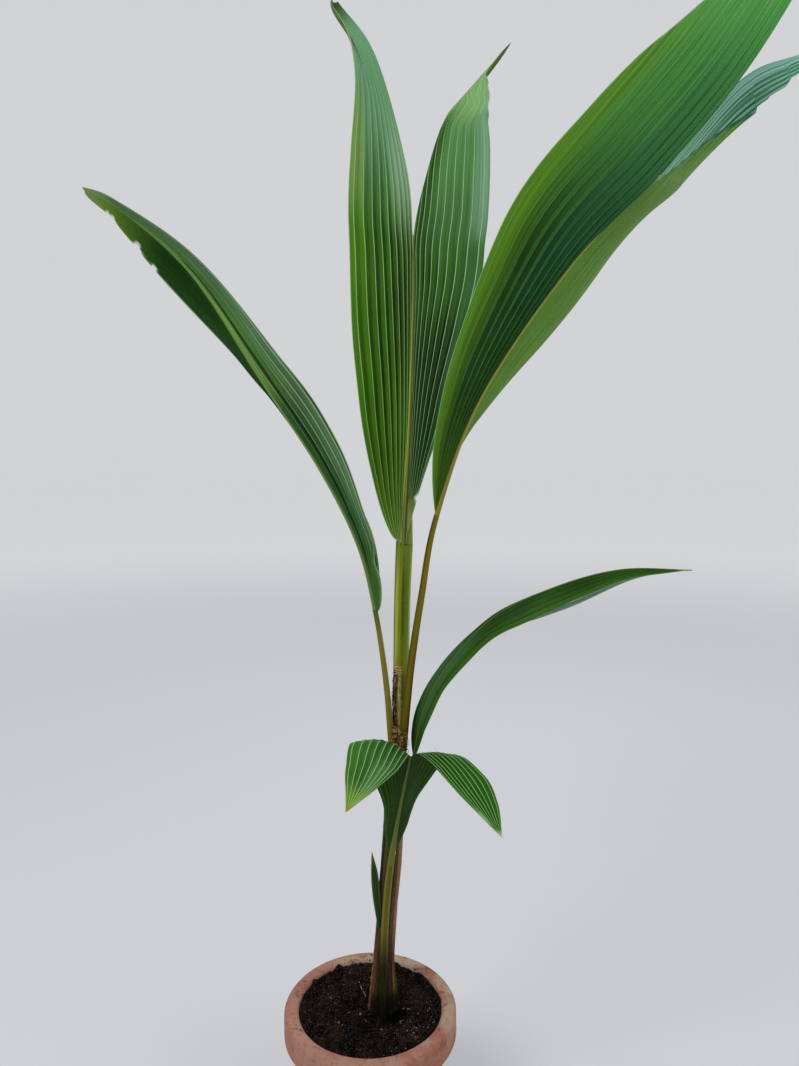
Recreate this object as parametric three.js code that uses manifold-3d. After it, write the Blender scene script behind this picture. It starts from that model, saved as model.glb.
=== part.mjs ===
// A young coconut palm in a terracotta pot.
// Lengths are in millimetres and +Z is up. The origin is the centre of the pot's underside, and the front
// of the plant looks along -Y.

import * as THREE from "three";
import { mergeVertices } from "three/addons/utils/BufferGeometryUtils.js";
import Module from "manifold-3d";

const wasm = await Module();
wasm.setup();

// Clearance between pieces that touch on the real plant
const GAP = 0.3;

// Pot
const POT_HEIGHT = 250;
const RIM_RADIUS = 140;
const MOUTH_RADIUS = 116;
const BAND_HEIGHT = 45;
const BAND_STEP = 13;
const FOOT_RADIUS = 92;
const POT_WALL = 14;
const POT_FLOOR = 16;
const LIP_ROUND = 8;
const FOOT_ROUND = 4;
const DRAIN_RADIUS = 6;
const DRAIN_CIRCLE = 45;
const DRAIN_HOLES = 3;
const POT_SIDES = 40;

// Soil: flat under the stem, then falling gently to the wall
const STEM_SEAT = 243;
const SOIL_EDGE = 236;
const SOIL_FLAT_RADIUS = 70;

// Stem: leans to the right and back, and flares at the foot
const STEM_TOP = 640;
const STEM = {
  path: [
    [23, 6, STEM_SEAT],
    [25, 6, 280],
    [26, 7, 330],
    [30, 8, 420],
    [36, 10, 510],
    [41, 12, STEM_TOP],
  ],
  radii: [30, 21.3, 19.2, 17.3, 16.4, 15.5],
  facing: [0, -1, 0],
  sides: 16,
  steps: 12,
  levelFoot: true,
  levelTop: true,
};

// A sheath scale at the foot of the stem, and the small pointed leaf on its left
const FOOT_SCALE = {
  path: [
    [46, -13, STEM_SEAT],
    [45, -11, 275],
    [43, -9.5, 305],
    [40.5, -9, 330],
  ],
  radii: [3.6, 3.3, 2.7, 1],
  facing: [0, -1, 0],
  sides: 6,
  steps: 5,
  levelFoot: true,
};
const SPIKE_LEAF = {
  path: [
    [16, -3, 374],
    [13, -7, 405],
    [9.5, -10, 440],
    [6.5, -12, 482],
    [3.5, -14, 515],
  ],
  radii: [3.5, 5, 6.6, 5.8, 0.8],
  facing: [-0.3, -1, 0],
  flat: 0.36,
  sides: 8,
  steps: 9,
};

// Brown fibre of the old sheath, in front of the central stalk
const FIBRE = {
  path: [
    [42, 3, 668],
    [41.5, 4, 700],
    [41, 4.5, 757],
    [43, 5, 805],
  ],
  radii: [5, 4.6, 4, 3.2],
  facing: [0, -1, 0],
  sides: 8,
  steps: 7,
};

// Leaves
// stalk and rib are points along one limb, and the blade starts at the first point of the rib.
// facing is the side that the upper face of the blade looks to, where the blade starts.
// Each half of a blade hangs on its own edge: the rib, then the tail that its tip ends in.
// hand is the side of the rib that a half is on, seen along the leaf from its upper face.
// lifts are the angles, in degrees, that a half is folded up from the leaf's plane along its length.
// peak is where along its length a half is widest, and swell is how slowly it widens.
// bend is where along its length a blade turns over, and is split in two.
const CENTRE_LEAF = {
  name: "centre",
  standsOnLevel: true,
  facing: [0, -1, 0],
  stalk: [
    [42, 19, STEM_TOP + GAP],
    [47, 17, 700],
    [51, 17, 787],
    [54, 19, 899],
  ],
  rib: [
    [56, 22, 1001],
    [64, 42, 1197],
    [69, 66, 1386],
    [69, 82, 1490],
  ],
  stalkRadii: [8.5, 11.4, 12, 11.6, 8],
  stalkFlat: 0.72,
  channel: 0.55,
  ribRadii: [7, 5.5, 4, 2],
  folds: 8,
  thickness: 9.2,
  steps: 13,
  halves: [
    {
      name: "left",
      hand: -1,
      tail: [
        [58, 100, 1604],
        [8, 130, 1785],
        [-54, 150, 1878],
      ],
      width: 108,
      peak: 0.54,
      swell: 0.46,
      lifts: [46, 30, 24, 24, 56, 53],
    },
    {
      name: "right",
      hand: 1,
      tail: [
        [90, 98, 1592],
        [158, 120, 1726],
        [228, 135, 1806],
      ],
      width: 115,
      peak: 0.58,
      swell: 0.89,
      lifts: [69, 51, 32, 5, 50, 85],
    },
  ],
};

const LEANING_LEAF = {
  name: "leaning",
  standsOnLevel: true,
  facing: [-0.5, 0.8, 0.4],
  stalk: [
    [49.5, 2, STEM_TOP + GAP],
    [53, -8, 690],
    [64, -14, 809],
    [81, -26, 930],
  ],
  rib: [
    [102, -45, 1051],
    [159, -105, 1218],
    [261, -205, 1376],
    [339, -300, 1454],
  ],
  stalkRadii: [7, 6.8, 6.2, 5.6, 5],
  stalkFlat: 0.85,
  channel: 0.2,
  ribRadii: [5, 4.2, 3.2, 1.8],
  folds: 8,
  thickness: 8.8,
  steps: 13,
  halves: [
    {
      name: "left",
      hand: 1,
      tail: [
        [399, -352, 1527],
        [434, -410, 1593],
        [463, -480, 1677],
      ],
      width: 114,
      peak: 0.57,
      swell: 0.94,
      lifts: [4, -5, 8, 27, 16, -25],
    },
    {
      name: "right",
      hand: -1,
      tail: [
        [410, -330, 1539],
        [471, -335, 1565],
        [543, -330, 1584],
      ],
      width: 136,
      peak: 0.45,
      swell: 1.12,
      lifts: [76, 38, 29, 29, 11, -80],
    },
  ],
};

const LEFT_LEAF = {
  name: "left",
  standsOnLevel: true,
  facing: [0.6, 0.3, 0.6],
  stalk: [
    [34, 4, STEM_TOP + GAP],
    [32, 0, 692],
    [26, -7, 789],
  ],
  rib: [
    [11, -20, 903],
    [-15, -33, 1009],
    [-70, -54, 1123],
    [-150, -82, 1250],
    [-242, -110, 1388],
    [-366, -140, 1488],
  ],
  stalkRadii: [6.5, 6.3, 5.6, 4.6],
  stalkFlat: 0.85,
  channel: 0.2,
  ribRadii: [4.4, 3.8, 3, 2, 1],
  folds: 6,
  thickness: 7.3,
  steps: 12,
  halves: [
    {
      name: "near",
      hand: -1,
      tail: [],
      width: 65,
      peak: 0.56,
      swell: 0.48,
      lifts: [10, 10, 27, 19, -1, -1],
    },
    {
      name: "far",
      hand: 1,
      tail: [],
      width: 76,
      peak: 0.67,
      swell: 0.73,
      lifts: [87, 58, 26, 13, -5, 16],
    },
  ],
};

const ARCHING_LEAF = {
  name: "arching",
  standsOnLevel: false,
  splitRib: true,
  facing: [-0.5, 0, 0.8],
  stalk: [
    [40, 12, 520],
    [52, 12, 572],
    [61, 5, 620],
  ],
  rib: [
    [70, -5, 668],
    [85, -20, 746],
    [120, -36, 820],
    [189, -62, 904],
    [274, -88, 953],
    [361, -110, 981],
    [451, -135, 984],
  ],
  stalkRadii: [5, 4.6, 4, 3.2],
  stalkFlat: 0.9,
  channel: 0,
  ribRadii: [3.2, 2.8, 2.4, 2, 1.5],
  folds: 5,
  thickness: 5.8,
  steps: 8,
  bend: 0.42,
  halves: [
    {
      name: "near",
      hand: 1,
      tail: [],
      width: 57,
      peak: 0.4,
      swell: 0.79,
      lifts: [-25, -16, -11, -24, -29, -23],
    },
    {
      name: "far",
      hand: -1,
      tail: [],
      width: 71,
      peak: 0.4,
      swell: 0.92,
      lifts: [48, 4, -25, -53, -73, -45],
    },
  ],
};

// Each half of this leaf folds over forwards and hangs down, so it is stretched between two curves:
// its inner edge, which is the rib and then the tail, and its margin.
// crest is how far the fold stands above the straight line between them.
const FRONT_LEAF = {
  name: "front",
  standsOnLevel: true,
  facing: [0, 0.9, 0.4],
  stalk: [
    [20, -22, STEM_SEAT],
    [21.5, -15.5, 300],
    [24, -12.5, 370],
    [29, -13, 434],
  ],
  rib: [
    [37, -24, 499],
    [45, -36, 566],
    [54, -54, 632],
    [64, -80, 697],
  ],
  stalkRadii: [7.6, 7.4, 6.8, 6, 5],
  stalkFlat: 0.9,
  channel: 0,
  ribRadii: [4.6, 3.9, 3.1, 2],
  folds: 6,
  thickness: 4,
  steps: 7,
  bend: 0.5,
  halves: [
    {
      name: "left",
      tail: [
        [42, -108, 684],
        [7, -130, 663],
        [-28, -146, 642],
      ],
      margin: [
        [26, -16, 543],
        [18, -22, 611],
        [-22, -66, 711],
        [-31, -100, 688],
        [-30, -126, 663],
      ],
      crest: -14,
    },
    {
      name: "right",
      tail: [
        [89, -104, 700],
        [136, -130, 657],
        [191, -156, 609],
      ],
      margin: [
        [59, -20, 564],
        [81, -28, 622],
        [127, -66, 693],
        [170, -98, 677],
        [188, -130, 648],
      ],
      crest: 4,
    },
  ],
};

// Blades: the depth of a pleat for its width, and how thin the edges and the tip are
const PLEAT_DEPTH = 0.22;
const EDGE_SHARE = 0.4;
const LEAST_THICKNESS = 1.6;
const LEAST_WIDTH = 2.5;
const BLADE_START = 0.012;
const BLADE_END = 0.995;
const TIP_TAPER = 6;
const TIP_SHARE = 0.2;
const FORK_FADE = 0.15;
const CREST_SPREAD = 0.16;

// Clearance where a blade is split at its bend, and between the tips past it
const BEND_GAP = 3 * GAP;

// How finely limbs and curves are divided
const STALK_SIDES = 12;
const STALK_STEPS = 9;
const RIB_SIDES = 8;
const RIB_STEPS = 12;
const CURVE_STEPS = 60;
const FRAME_STEPS = 80;
const LIP_STEPS = 3;
const HOLE_SIDES = 12;

function finish(color, roughness) {
  return new THREE.MeshStandardMaterial({ color, roughness, metalness: 0 });
}
const TERRACOTTA = finish(0xb57e6b, 0.85);
const EARTH = finish(0x27221f, 0.95);
const BARK = finish(0x5a4428, 0.8);
const STALK_GREEN = finish(0x676029, 0.55);
const LEAF_GREEN = finish(0x2f5a1c, 0.45);
const FIBRE_BROWN = finish(0x6b4a2c, 0.9);

// A value that runs smoothly through evenly spaced stations
function smoothly(values) {
  const points = values.map((v) => new THREE.Vector3(v, 0, 0));
  const curve = new THREE.CatmullRomCurve3(points, false, "catmullrom", 0.5);
  return (u) => curve.getPoint(THREE.MathUtils.clamp(u, 0, 1)).x;
}

// A curve through points with a face direction carried along it, measured from its point number `first`
function spineOf(points, facing, first = 0) {
  const corners = points.map((p) => new THREE.Vector3(...p));
  const curve = new THREE.CatmullRomCurve3(corners, false, "catmullrom", 0.5);
  curve.arcLengthDivisions = CURVE_STEPS * (points.length - 1);
  const lengths = curve.getLengths();
  const whole = lengths.at(-1);
  const start = lengths[CURVE_STEPS * first] / whole;
  const share = (u) => THREE.MathUtils.clamp(start + (1 - start) * u, 0, 1);
  const faceOn = (face, along) =>
    face.clone().addScaledVector(along, -face.dot(along)).normalize();
  const faces = [];
  let face = new THREE.Vector3(...facing);
  for (let i = 0; i <= FRAME_STEPS; i++) {
    face = faceOn(face, curve.getTangentAt(share(i / FRAME_STEPS)));
    faces.push(face);
  }
  const at = (u) => {
    const along = curve.getTangentAt(share(u));
    const step = THREE.MathUtils.clamp(Math.floor(u * FRAME_STEPS), 0, FRAME_STEPS);
    const up = faceOn(faces[step], along);
    const beyond = (start + (1 - start) * u - share(u)) * whole;
    const point = curve.getPointAt(share(u)).addScaledVector(along, beyond);
    return { point, along, up, side: along.clone().cross(up) };
  };
  return { at, length: whole * (1 - start), start };
}

// Joins rings of equal, even count into one closed body, with strips across its two ends
function loft(rings) {
  const count = rings[0].length;
  const faces = [];
  const quad = (a, b, c, d) => faces.push(a, b, c, a, c, d);
  for (let r = 0; r + 1 < rings.length; r++) {
    const low = r * count;
    for (let i = 0; i < count; i++) {
      const j = (i + 1) % count;
      quad(low + i, low + j, low + count + j, low + count + i);
    }
  }
  const last = (rings.length - 1) * count;
  for (let i = 0; i + 1 < count / 2; i++) {
    const far = count - 1 - i;
    quad(far, far - 1, i + 1, i);
    quad(last + i, last + i + 1, last + far - 1, last + far);
  }
  const corners = rings.flat().flatMap((p) => [p.x, p.y, p.z]);
  const geometry = new THREE.BufferGeometry();
  geometry.setAttribute("position", new THREE.Float32BufferAttribute(corners, 3));
  geometry.setIndex(faces);
  return geometry;
}

// A closed geometry as a solid with its faces outwards
function solidOf(geometry) {
  geometry.deleteAttribute("normal");
  geometry.deleteAttribute("uv");
  const merged = mergeVertices(geometry, 1e-4);
  const index = [...merged.index.array];
  const kept = [];
  for (let i = 0; i < index.length; i += 3) {
    const [a, b, c] = index.slice(i, i + 3);
    if (a !== b && b !== c && c !== a) kept.push(a, b, c);
  }
  const build = (order) =>
    new wasm.Manifold(
      new wasm.Mesh({
        numProp: 3,
        vertProperties: merged.attributes.position.array,
        triVerts: new Uint32Array(order),
      }),
    );
  const made = build(kept);
  return made.volume() > 0 ? made : build(kept.toReversed());
}

// A solid with its neighbours cut out of it, without the scraps that the cuts leave
function cutBy(solid, ...neighbours) {
  const cut = neighbours.reduce((left, n) => left.subtract(n), solid);
  const bodies = cut.decompose();
  return bodies.sort((a, b) => b.volume() - a.volume())[0];
}

// A tapering limb along a spine: round, or flat and grooved on its face side
function limb(shape, span = [0, 1], grow = 0) {
  const { radii, flat = 1, channel = 0, sides, steps } = shape;
  const spine = shape.spine ?? spineOf(shape.path, shape.facing);
  const radiusAt = smoothly(radii);
  const extra = grow / spine.length;
  const from = span[0] - extra;
  const to = span[1] + extra;
  const rings = [];
  for (let s = 0; s <= steps; s++) {
    const u = from + ((to - from) * s) / steps;
    const frame = spine.at(u);
    const radius = radiusAt((u - from) / (to - from)) + grow;
    const ring = [];
    for (let k = 0; k < sides; k++) {
      const turn = (2 * Math.PI * (k + 0.5)) / sides;
      const rise = Math.sin(turn);
      const groove = rise > 0 ? channel * rise * rise : 0;
      ring.push(
        frame.point
          .clone()
          .addScaledVector(frame.side, radius * Math.cos(turn))
          .addScaledVector(frame.up, radius * flat * (rise - groove)),
      );
    }
    const level =
      (shape.levelFoot && s === 0) || (shape.levelTop && s === steps);
    if (level) ring.forEach((p) => slideLevel(p, frame));
    rings.push(ring);
  }
  return solidOf(loft(rings));
}

// Moves a point of a ring along the limb until it is level with the ring's middle
function slideLevel(point, frame) {
  const drop = (frame.point.z - point.z) / frame.along.z;
  point.addScaledVector(frame.along, drop);
}

// The outline of half a blade: its width at u, as a share of the widest
function outline(u, peak, swell) {
  const fall = (swell * (1 - peak)) / peak;
  const rest = Math.max(1 - u, 0) / (1 - peak);
  return Math.pow(Math.max(u, 0) / peak, swell) * Math.pow(rest, fall);
}

// How a half blade lies across its edge at u, where it hangs on the edge at an angle to the leaf's face
function liftedSection(leaf, half) {
  const edge = [...leaf.stalk, ...leaf.rib, ...half.tail];
  const spine = spineOf(edge, leaf.facing, leaf.stalk.length);
  const liftAt = smoothly(half.lifts);
  const at = (u) => {
    const { point, up, side } = spine.at(u);
    const lift = THREE.MathUtils.degToRad(liftAt(u));
    const turned = (alongSide, alongUp) =>
      side.clone().multiplyScalar(half.hand * alongSide).addScaledVector(up, alongUp);
    return {
      point,
      outwards: turned(Math.cos(lift), Math.sin(lift)),
      through: turned(-Math.sin(lift), Math.cos(lift)),
      reach: half.width * outline(u, half.peak, half.swell),
      crest: 0,
    };
  };
  return { at, length: spine.length };
}

// The same where it is stretched between its inner edge and its margin
function stretchedSection(leaf, half) {
  const curveOf = (points) => {
    const corners = points.map((p) => new THREE.Vector3(...p));
    return new THREE.CatmullRomCurve3(corners, false, "catmullrom", 0.5);
  };
  const inner = curveOf([...leaf.rib, ...half.tail]);
  const outer = curveOf([leaf.rib[0], ...half.margin, half.tail.at(-1)]);
  const at = (u) => {
    const point = inner.getPoint(u);
    const across = outer.getPoint(u).sub(point);
    const along = inner.getTangent(u).add(outer.getTangent(u));
    const outwards = across.clone().normalize();
    return {
      point,
      outwards,
      through: along.cross(outwards).normalize(),
      reach: across.length(),
      crest: half.crest * Math.exp(-(((u - leaf.bend) / CREST_SPREAD) ** 2)),
    };
  };
  return { at, length: inner.getLength() };
}

const sectionOf = (leaf, half) =>
  half.margin ? stretchedSection(leaf, half) : liftedSection(leaf, half);

// Half a blade over a span of its edge: a pleated sheet that starts beside the rib
function halfBlade(leaf, half, span = [0, 1], grow = 0) {
  const section = sectionOf(leaf, half);
  const insetAt = ribInset(leaf, half, section.length);
  const extra = (2 * grow) / section.length;
  const from = Math.max(span[0] - extra, BLADE_START);
  const to = Math.min(span[1] + extra, BLADE_END);
  const rings = [];
  for (let s = 0; s <= leaf.steps; s++) {
    const u = from + ((to - from) * s) / leaf.steps;
    rings.push(pleatedRing(leaf, section.at(u), insetAt(u), u, grow));
  }
  return solidOf(loft(rings));
}

// The outline of a pleated sheet's cut at u: its upper face one way, then its lower face back
function pleatedRing(leaf, section, inset, u, grow) {
  const columns = 2 * leaf.folds;
  const width = Math.max(section.reach - inset, LEAST_WIDTH);
  const depth = (PLEAT_DEPTH * width) / leaf.folds;
  const fade = Math.min(1, TIP_TAPER * (1 - u) + TIP_SHARE);
  const top = [];
  const bottom = [];
  for (let c = 0; c <= columns; c++) {
    const v = c / columns;
    const arch = 4 * v * (1 - v);
    const thickness = leaf.thickness * fade * (EDGE_SHARE + (1 - EDGE_SHARE) * arch);
    const skin = Math.max(thickness, LEAST_THICKNESS) / 2 + grow;
    const over = inset + v * width + (2 * v - 1) * grow;
    const rise = section.crest * arch + (c % 2 ? depth : -depth);
    const place = section.point.clone().addScaledVector(section.outwards, over);
    top.push(place.clone().addScaledVector(section.through, rise + skin));
    bottom.unshift(place.addScaledVector(section.through, rise - skin));
  }
  return [...top, ...bottom];
}

// How far from its edge a half blade starts: clear of the rib, and on the edge past the fork
function ribInset(leaf, half, length) {
  const radiusAt = smoothly(leaf.ribRadii);
  const rib = spineOf([...leaf.stalk, ...leaf.rib], leaf.facing, leaf.stalk.length);
  const fork = half.margin ? leaf.bend : Math.min(rib.length / length, 1);
  return (u) => {
    const fade = THREE.MathUtils.clamp(1 - (u - fork) / FORK_FADE, 0, 1);
    return (radiusAt(u / fork) + GAP) * fade;
  };
}

const palm = new THREE.Group();

// Adds a solid to the palm as a named mesh
function add(name, solid, material) {
  const { numProp, vertProperties, triVerts } = solid.getMesh();
  const corners = new THREE.InterleavedBuffer(vertProperties, numProp);
  const geometry = new THREE.BufferGeometry();
  geometry.setAttribute(
    "position",
    new THREE.InterleavedBufferAttribute(corners, 3, 0),
  );
  geometry.setIndex(new THREE.BufferAttribute(triVerts, 1));
  const mesh = new THREE.Mesh(geometry, material);
  mesh.name = name;
  palm.add(mesh);
}

// The pot's inner radius at a height
function innerRadius(z) {
  const bandFoot = POT_HEIGHT - BAND_HEIGHT;
  if (z > bandFoot) return MOUTH_RADIUS;
  const share = (z - POT_FLOOR) / (bandFoot - POT_FLOOR);
  return THREE.MathUtils.lerp(FOOT_RADIUS - POT_WALL, MOUTH_RADIUS, share);
}

// A body turned about +Z from its half section, listed as radius and height
function turned(section) {
  const points = section.map(([r, z]) => new THREE.Vector2(r, z));
  const geometry = new THREE.LatheGeometry(points, POT_SIDES);
  return solidOf(geometry.rotateX(Math.PI / 2));
}

// Points on a quarter round, from one angle to another in degrees
function quarter(r, z, radius, from, to) {
  const points = [];
  for (let i = 0; i <= LIP_STEPS; i++) {
    const turn = THREE.MathUtils.degToRad(from + ((to - from) * i) / LIP_STEPS);
    points.push([r + radius * Math.cos(turn), z + radius * Math.sin(turn)]);
  }
  return points;
}

function makePot() {
  const bandFoot = POT_HEIGHT - BAND_HEIGHT;
  const lipLevel = POT_HEIGHT - LIP_ROUND;
  const body = turned([
    [0, 0],
    [FOOT_RADIUS - FOOT_ROUND, 0],
    [FOOT_RADIUS, FOOT_ROUND],
    [RIM_RADIUS - BAND_STEP, bandFoot],
    ...quarter(RIM_RADIUS - FOOT_ROUND, bandFoot + FOOT_ROUND, FOOT_ROUND, -90, 0),
    ...quarter(RIM_RADIUS - LIP_ROUND, lipLevel, LIP_ROUND, 0, 90),
    ...quarter(MOUTH_RADIUS + LIP_ROUND, lipLevel, LIP_ROUND, 90, 180),
    [innerRadius(bandFoot), bandFoot],
    [innerRadius(POT_FLOOR), POT_FLOOR],
    [0, POT_FLOOR],
  ]);
  const holes = [];
  for (let i = 0; i < DRAIN_HOLES; i++) {
    const turn = (2 * Math.PI * i) / DRAIN_HOLES;
    const hole = new THREE.CylinderGeometry(DRAIN_RADIUS, DRAIN_RADIUS, 3 * POT_FLOOR, HOLE_SIDES);
    hole.rotateX(Math.PI / 2);
    hole.translate(DRAIN_CIRCLE * Math.cos(turn), DRAIN_CIRCLE * Math.sin(turn), 0);
    holes.push(solidOf(hole));
  }
  add("pot", cutBy(body, ...holes), TERRACOTTA);
}

function makeSoil() {
  const bandFoot = POT_HEIGHT - BAND_HEIGHT;
  const top = STEM_SEAT - GAP;
  const soil = turned([
    [0, POT_FLOOR + GAP],
    [innerRadius(POT_FLOOR) - GAP, POT_FLOOR + GAP],
    [innerRadius(bandFoot) - GAP, bandFoot],
    [MOUTH_RADIUS - GAP, SOIL_EDGE],
    [SOIL_FLAT_RADIUS, top],
    [0, top],
  ]);
  add("soil", soil, EARTH);
}

const grownStem = limb(STEM, [0, 1], GAP);

function makeStem() {
  add("stem", limb(STEM), BARK);
  add("foot_scale", cutBy(limb(FOOT_SCALE), grownStem), STALK_GREEN);
  add("spike_leaf", cutBy(limb(SPIKE_LEAF), grownStem), LEAF_GREEN);
}

// The two stretches of a leaf's limb: the bare stalk, and the rib that carries the blade
function limbParts(leaf) {
  const points = [...leaf.stalk, ...leaf.rib];
  const spine = spineOf(points, leaf.facing);
  const { start } = spineOf(points, leaf.facing, leaf.stalk.length);
  const stalk = {
    shape: {
      spine,
      radii: leaf.stalkRadii,
      flat: leaf.stalkFlat,
      channel: leaf.channel,
      sides: STALK_SIDES,
      steps: STALK_STEPS,
      levelFoot: leaf.standsOnLevel,
    },
    span: [0, start - GAP / spine.length],
  };
  const rib = {
    shape: { spine, radii: leaf.ribRadii, sides: RIB_SIDES, steps: RIB_STEPS },
    span: [start, 1],
  };
  return { stalk, rib };
}

function makeLeaf(leaf) {
  const { stalk, rib } = limbParts(leaf);
  const limbs = [rib, stalk].map(({ shape, span }) => limb(shape, span, GAP));
  add(`${leaf.name}_stalk`, cutBy(limb(stalk.shape, stalk.span), grownStem), STALK_GREEN);
  addRib(leaf, rib);
  const tips = [];
  for (const half of leaf.halves) {
    const name = `${leaf.name}_${half.name}`;
    const bend = leaf.bend ?? 1;
    add(`${name}_blade`, cutBy(halfBlade(leaf, half, [0, bend]), ...limbs), LEAF_GREEN);
    if (bend < 1) {
      const lower = halfBlade(leaf, half, [0, bend], BEND_GAP);
      const tip = halfBlade(leaf, half, [bend, 1]);
      add(`${name}_tip`, cutBy(tip, lower, ...limbs, ...tips), LEAF_GREEN);
      tips.push(halfBlade(leaf, half, [bend, 1], BEND_GAP));
    }
  }
}

// A rib in one piece, or split where the leaf arches over
function addRib(leaf, rib) {
  if (!leaf.splitRib) {
    add(`${leaf.name}_rib`, limb(rib.shape, rib.span), STALK_GREEN);
    return;
  }
  const [from, to] = rib.span;
  const middle = THREE.MathUtils.lerp(from, to, leaf.bend);
  const joint = GAP / rib.shape.spine.length;
  const radiusAt = smoothly(leaf.ribRadii);
  const lower = { ...rib.shape, radii: [radiusAt(0), radiusAt(leaf.bend)] };
  const upper = { ...rib.shape, radii: [radiusAt(leaf.bend), radiusAt(1)] };
  add(`${leaf.name}_rib`, limb(lower, [from, middle - joint]), STALK_GREEN);
  add(`${leaf.name}_rib_tip`, limb(upper, [middle, to]), STALK_GREEN);
}

function makeFibre() {
  const stalks = [CENTRE_LEAF, LEANING_LEAF, LEFT_LEAF].map((leaf) => {
    const { stalk } = limbParts(leaf);
    return limb(stalk.shape, stalk.span, GAP);
  });
  add("sheath_fibre", cutBy(limb(FIBRE), ...stalks), FIBRE_BROWN);
}

makePot();
makeSoil();
makeStem();
makeFibre();
for (const leaf of [CENTRE_LEAF, LEANING_LEAF, LEFT_LEAF, ARCHING_LEAF, FRONT_LEAF]) {
  makeLeaf(leaf);
}

export default palm;
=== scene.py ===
# The looks of a young coconut palm in a terracotta pot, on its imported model.
# Named lengths are in millimetres unless a comment says otherwise, and the meshes are in metres. +Z is
# up, the origin is the centre of the pot's underside, and the front of the plant looks along -Y.

import math
import random
from bisect import bisect_left
from dataclasses import dataclass

import bmesh
import bpy
from mathutils import Matrix, Vector, noise


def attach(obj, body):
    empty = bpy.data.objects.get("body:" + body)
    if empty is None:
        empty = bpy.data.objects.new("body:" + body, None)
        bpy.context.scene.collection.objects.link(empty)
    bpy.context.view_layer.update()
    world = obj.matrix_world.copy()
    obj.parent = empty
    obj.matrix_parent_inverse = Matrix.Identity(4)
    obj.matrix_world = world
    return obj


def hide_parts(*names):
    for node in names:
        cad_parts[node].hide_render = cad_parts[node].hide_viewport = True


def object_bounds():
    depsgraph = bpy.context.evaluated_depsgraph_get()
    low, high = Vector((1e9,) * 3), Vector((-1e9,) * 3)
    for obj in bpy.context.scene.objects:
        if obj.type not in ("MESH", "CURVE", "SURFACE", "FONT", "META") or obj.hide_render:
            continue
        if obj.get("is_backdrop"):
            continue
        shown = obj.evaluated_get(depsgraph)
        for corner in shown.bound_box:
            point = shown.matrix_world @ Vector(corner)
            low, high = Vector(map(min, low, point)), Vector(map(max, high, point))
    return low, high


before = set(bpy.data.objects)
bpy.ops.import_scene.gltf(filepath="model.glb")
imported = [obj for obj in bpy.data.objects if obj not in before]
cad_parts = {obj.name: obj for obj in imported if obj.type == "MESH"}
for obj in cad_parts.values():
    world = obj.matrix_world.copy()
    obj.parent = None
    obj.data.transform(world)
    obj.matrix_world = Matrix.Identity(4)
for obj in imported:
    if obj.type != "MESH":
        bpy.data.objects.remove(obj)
cad_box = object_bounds()

MM = 0.001
FORWARD = (0, -1, 0)

# Pot
POT_HEIGHT = 250
RIM_RADIUS = 140
MOUTH_RADIUS = 116
BAND_FOOT = 205
BAND_STEP = 13
BAND_ROUND = 5
FOOT_RADIUS = 92
FOOT_ROUND = 4
POT_WALL = 14
POT_FLOOR = 16
LIP_ROUND = 8
DRAIN_RADIUS = 6
DRAIN_CIRCLE = 45
DRAIN_HOLES = 3
POT_STEPS = 144

# Where the pot's wall has throwing lines, at which angles in degrees its pale bloom is thickest, and
# how high it grows darker towards the bottom
THROWN_RADIUS = 70
THROWN_FOOT = 6
THROWN_TOP = POT_HEIGHT - 2
BLOOM_TURN = 35
FAINT_BLOOM_TURN = -50
LOW_DARKENING_FOOT = 10
LOW_DARKENING_TOP = 90

# Soil
STEM_SEAT = 243
SOIL_EDGE = 246
SOIL_FOOT = 18
SOIL_GAP = 0.4
SOIL_RINGS = 56
SOIL_STEPS = 180
ROOT = [(-22, 62), (-18, 50), (-12, 34), (-8, 20)]
FLAKE = (-16, -18)
# Where extra pale grit gathers, partly standing in for glints of light
GLINTS = (76, -42)
HOLLOW = (36, -24)
HOLLOW_DEPTH = 7
HOLLOW_SPREAD_SQUARED = 260
# Painted shade in the pit beside the stem: its centre, the radius it is full within, and the radius where it
# ends
PIT = (36, -14)
PIT_SHADE_CORE = 14
PIT_SHADE_EDGE = 32

# The soil shades what stands in it fully up to one height, and then less, up to another
SHADE_FOOT = 262
STALK_SHADE_TOP = 288
STEM_SHADE_TOP = 284

# Stem
STEM_TOP = 640
LIMB_FOOT = STEM_TOP - 4
STEM_PATH = [
    (20, 6, STEM_SEAT - 12), (20.8, 6, 280), (22.2, 7, 330), (28.4, 8, 420), (35.6, 10, 510),
    (41, 12, STEM_TOP + 4),
]
STEM_RADII = [26, 17.6, 15.8, 16.5, 16.1, 15.5]
STEM_SIDES = 110
STEM_ROWS = 260

# How high the stem flares, and how high it is ringed. A seam of its sheaths has an angle in radians
# at one height, and a lean from there. A sheath lies thicker beside its seam, over an angle.
FLARE_TOP = 290
RINGS_TOP = 360
SEAM_HEIGHT = 400
SEAMS = ((-2.25, 0.0016), (-0.75, -0.0012), (0.9, 0.001), (2.6, -0.001))
CREASE_SPREAD = 0.07
LAP = 0.9

CHIP_PATH = [(40.6, -8.2, 524), (40.4, -7.8, 518), (40.6, -7.6, 512), (40.2, -7.4, 507)]
CHIP_RADIUS = 1.3

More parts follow.
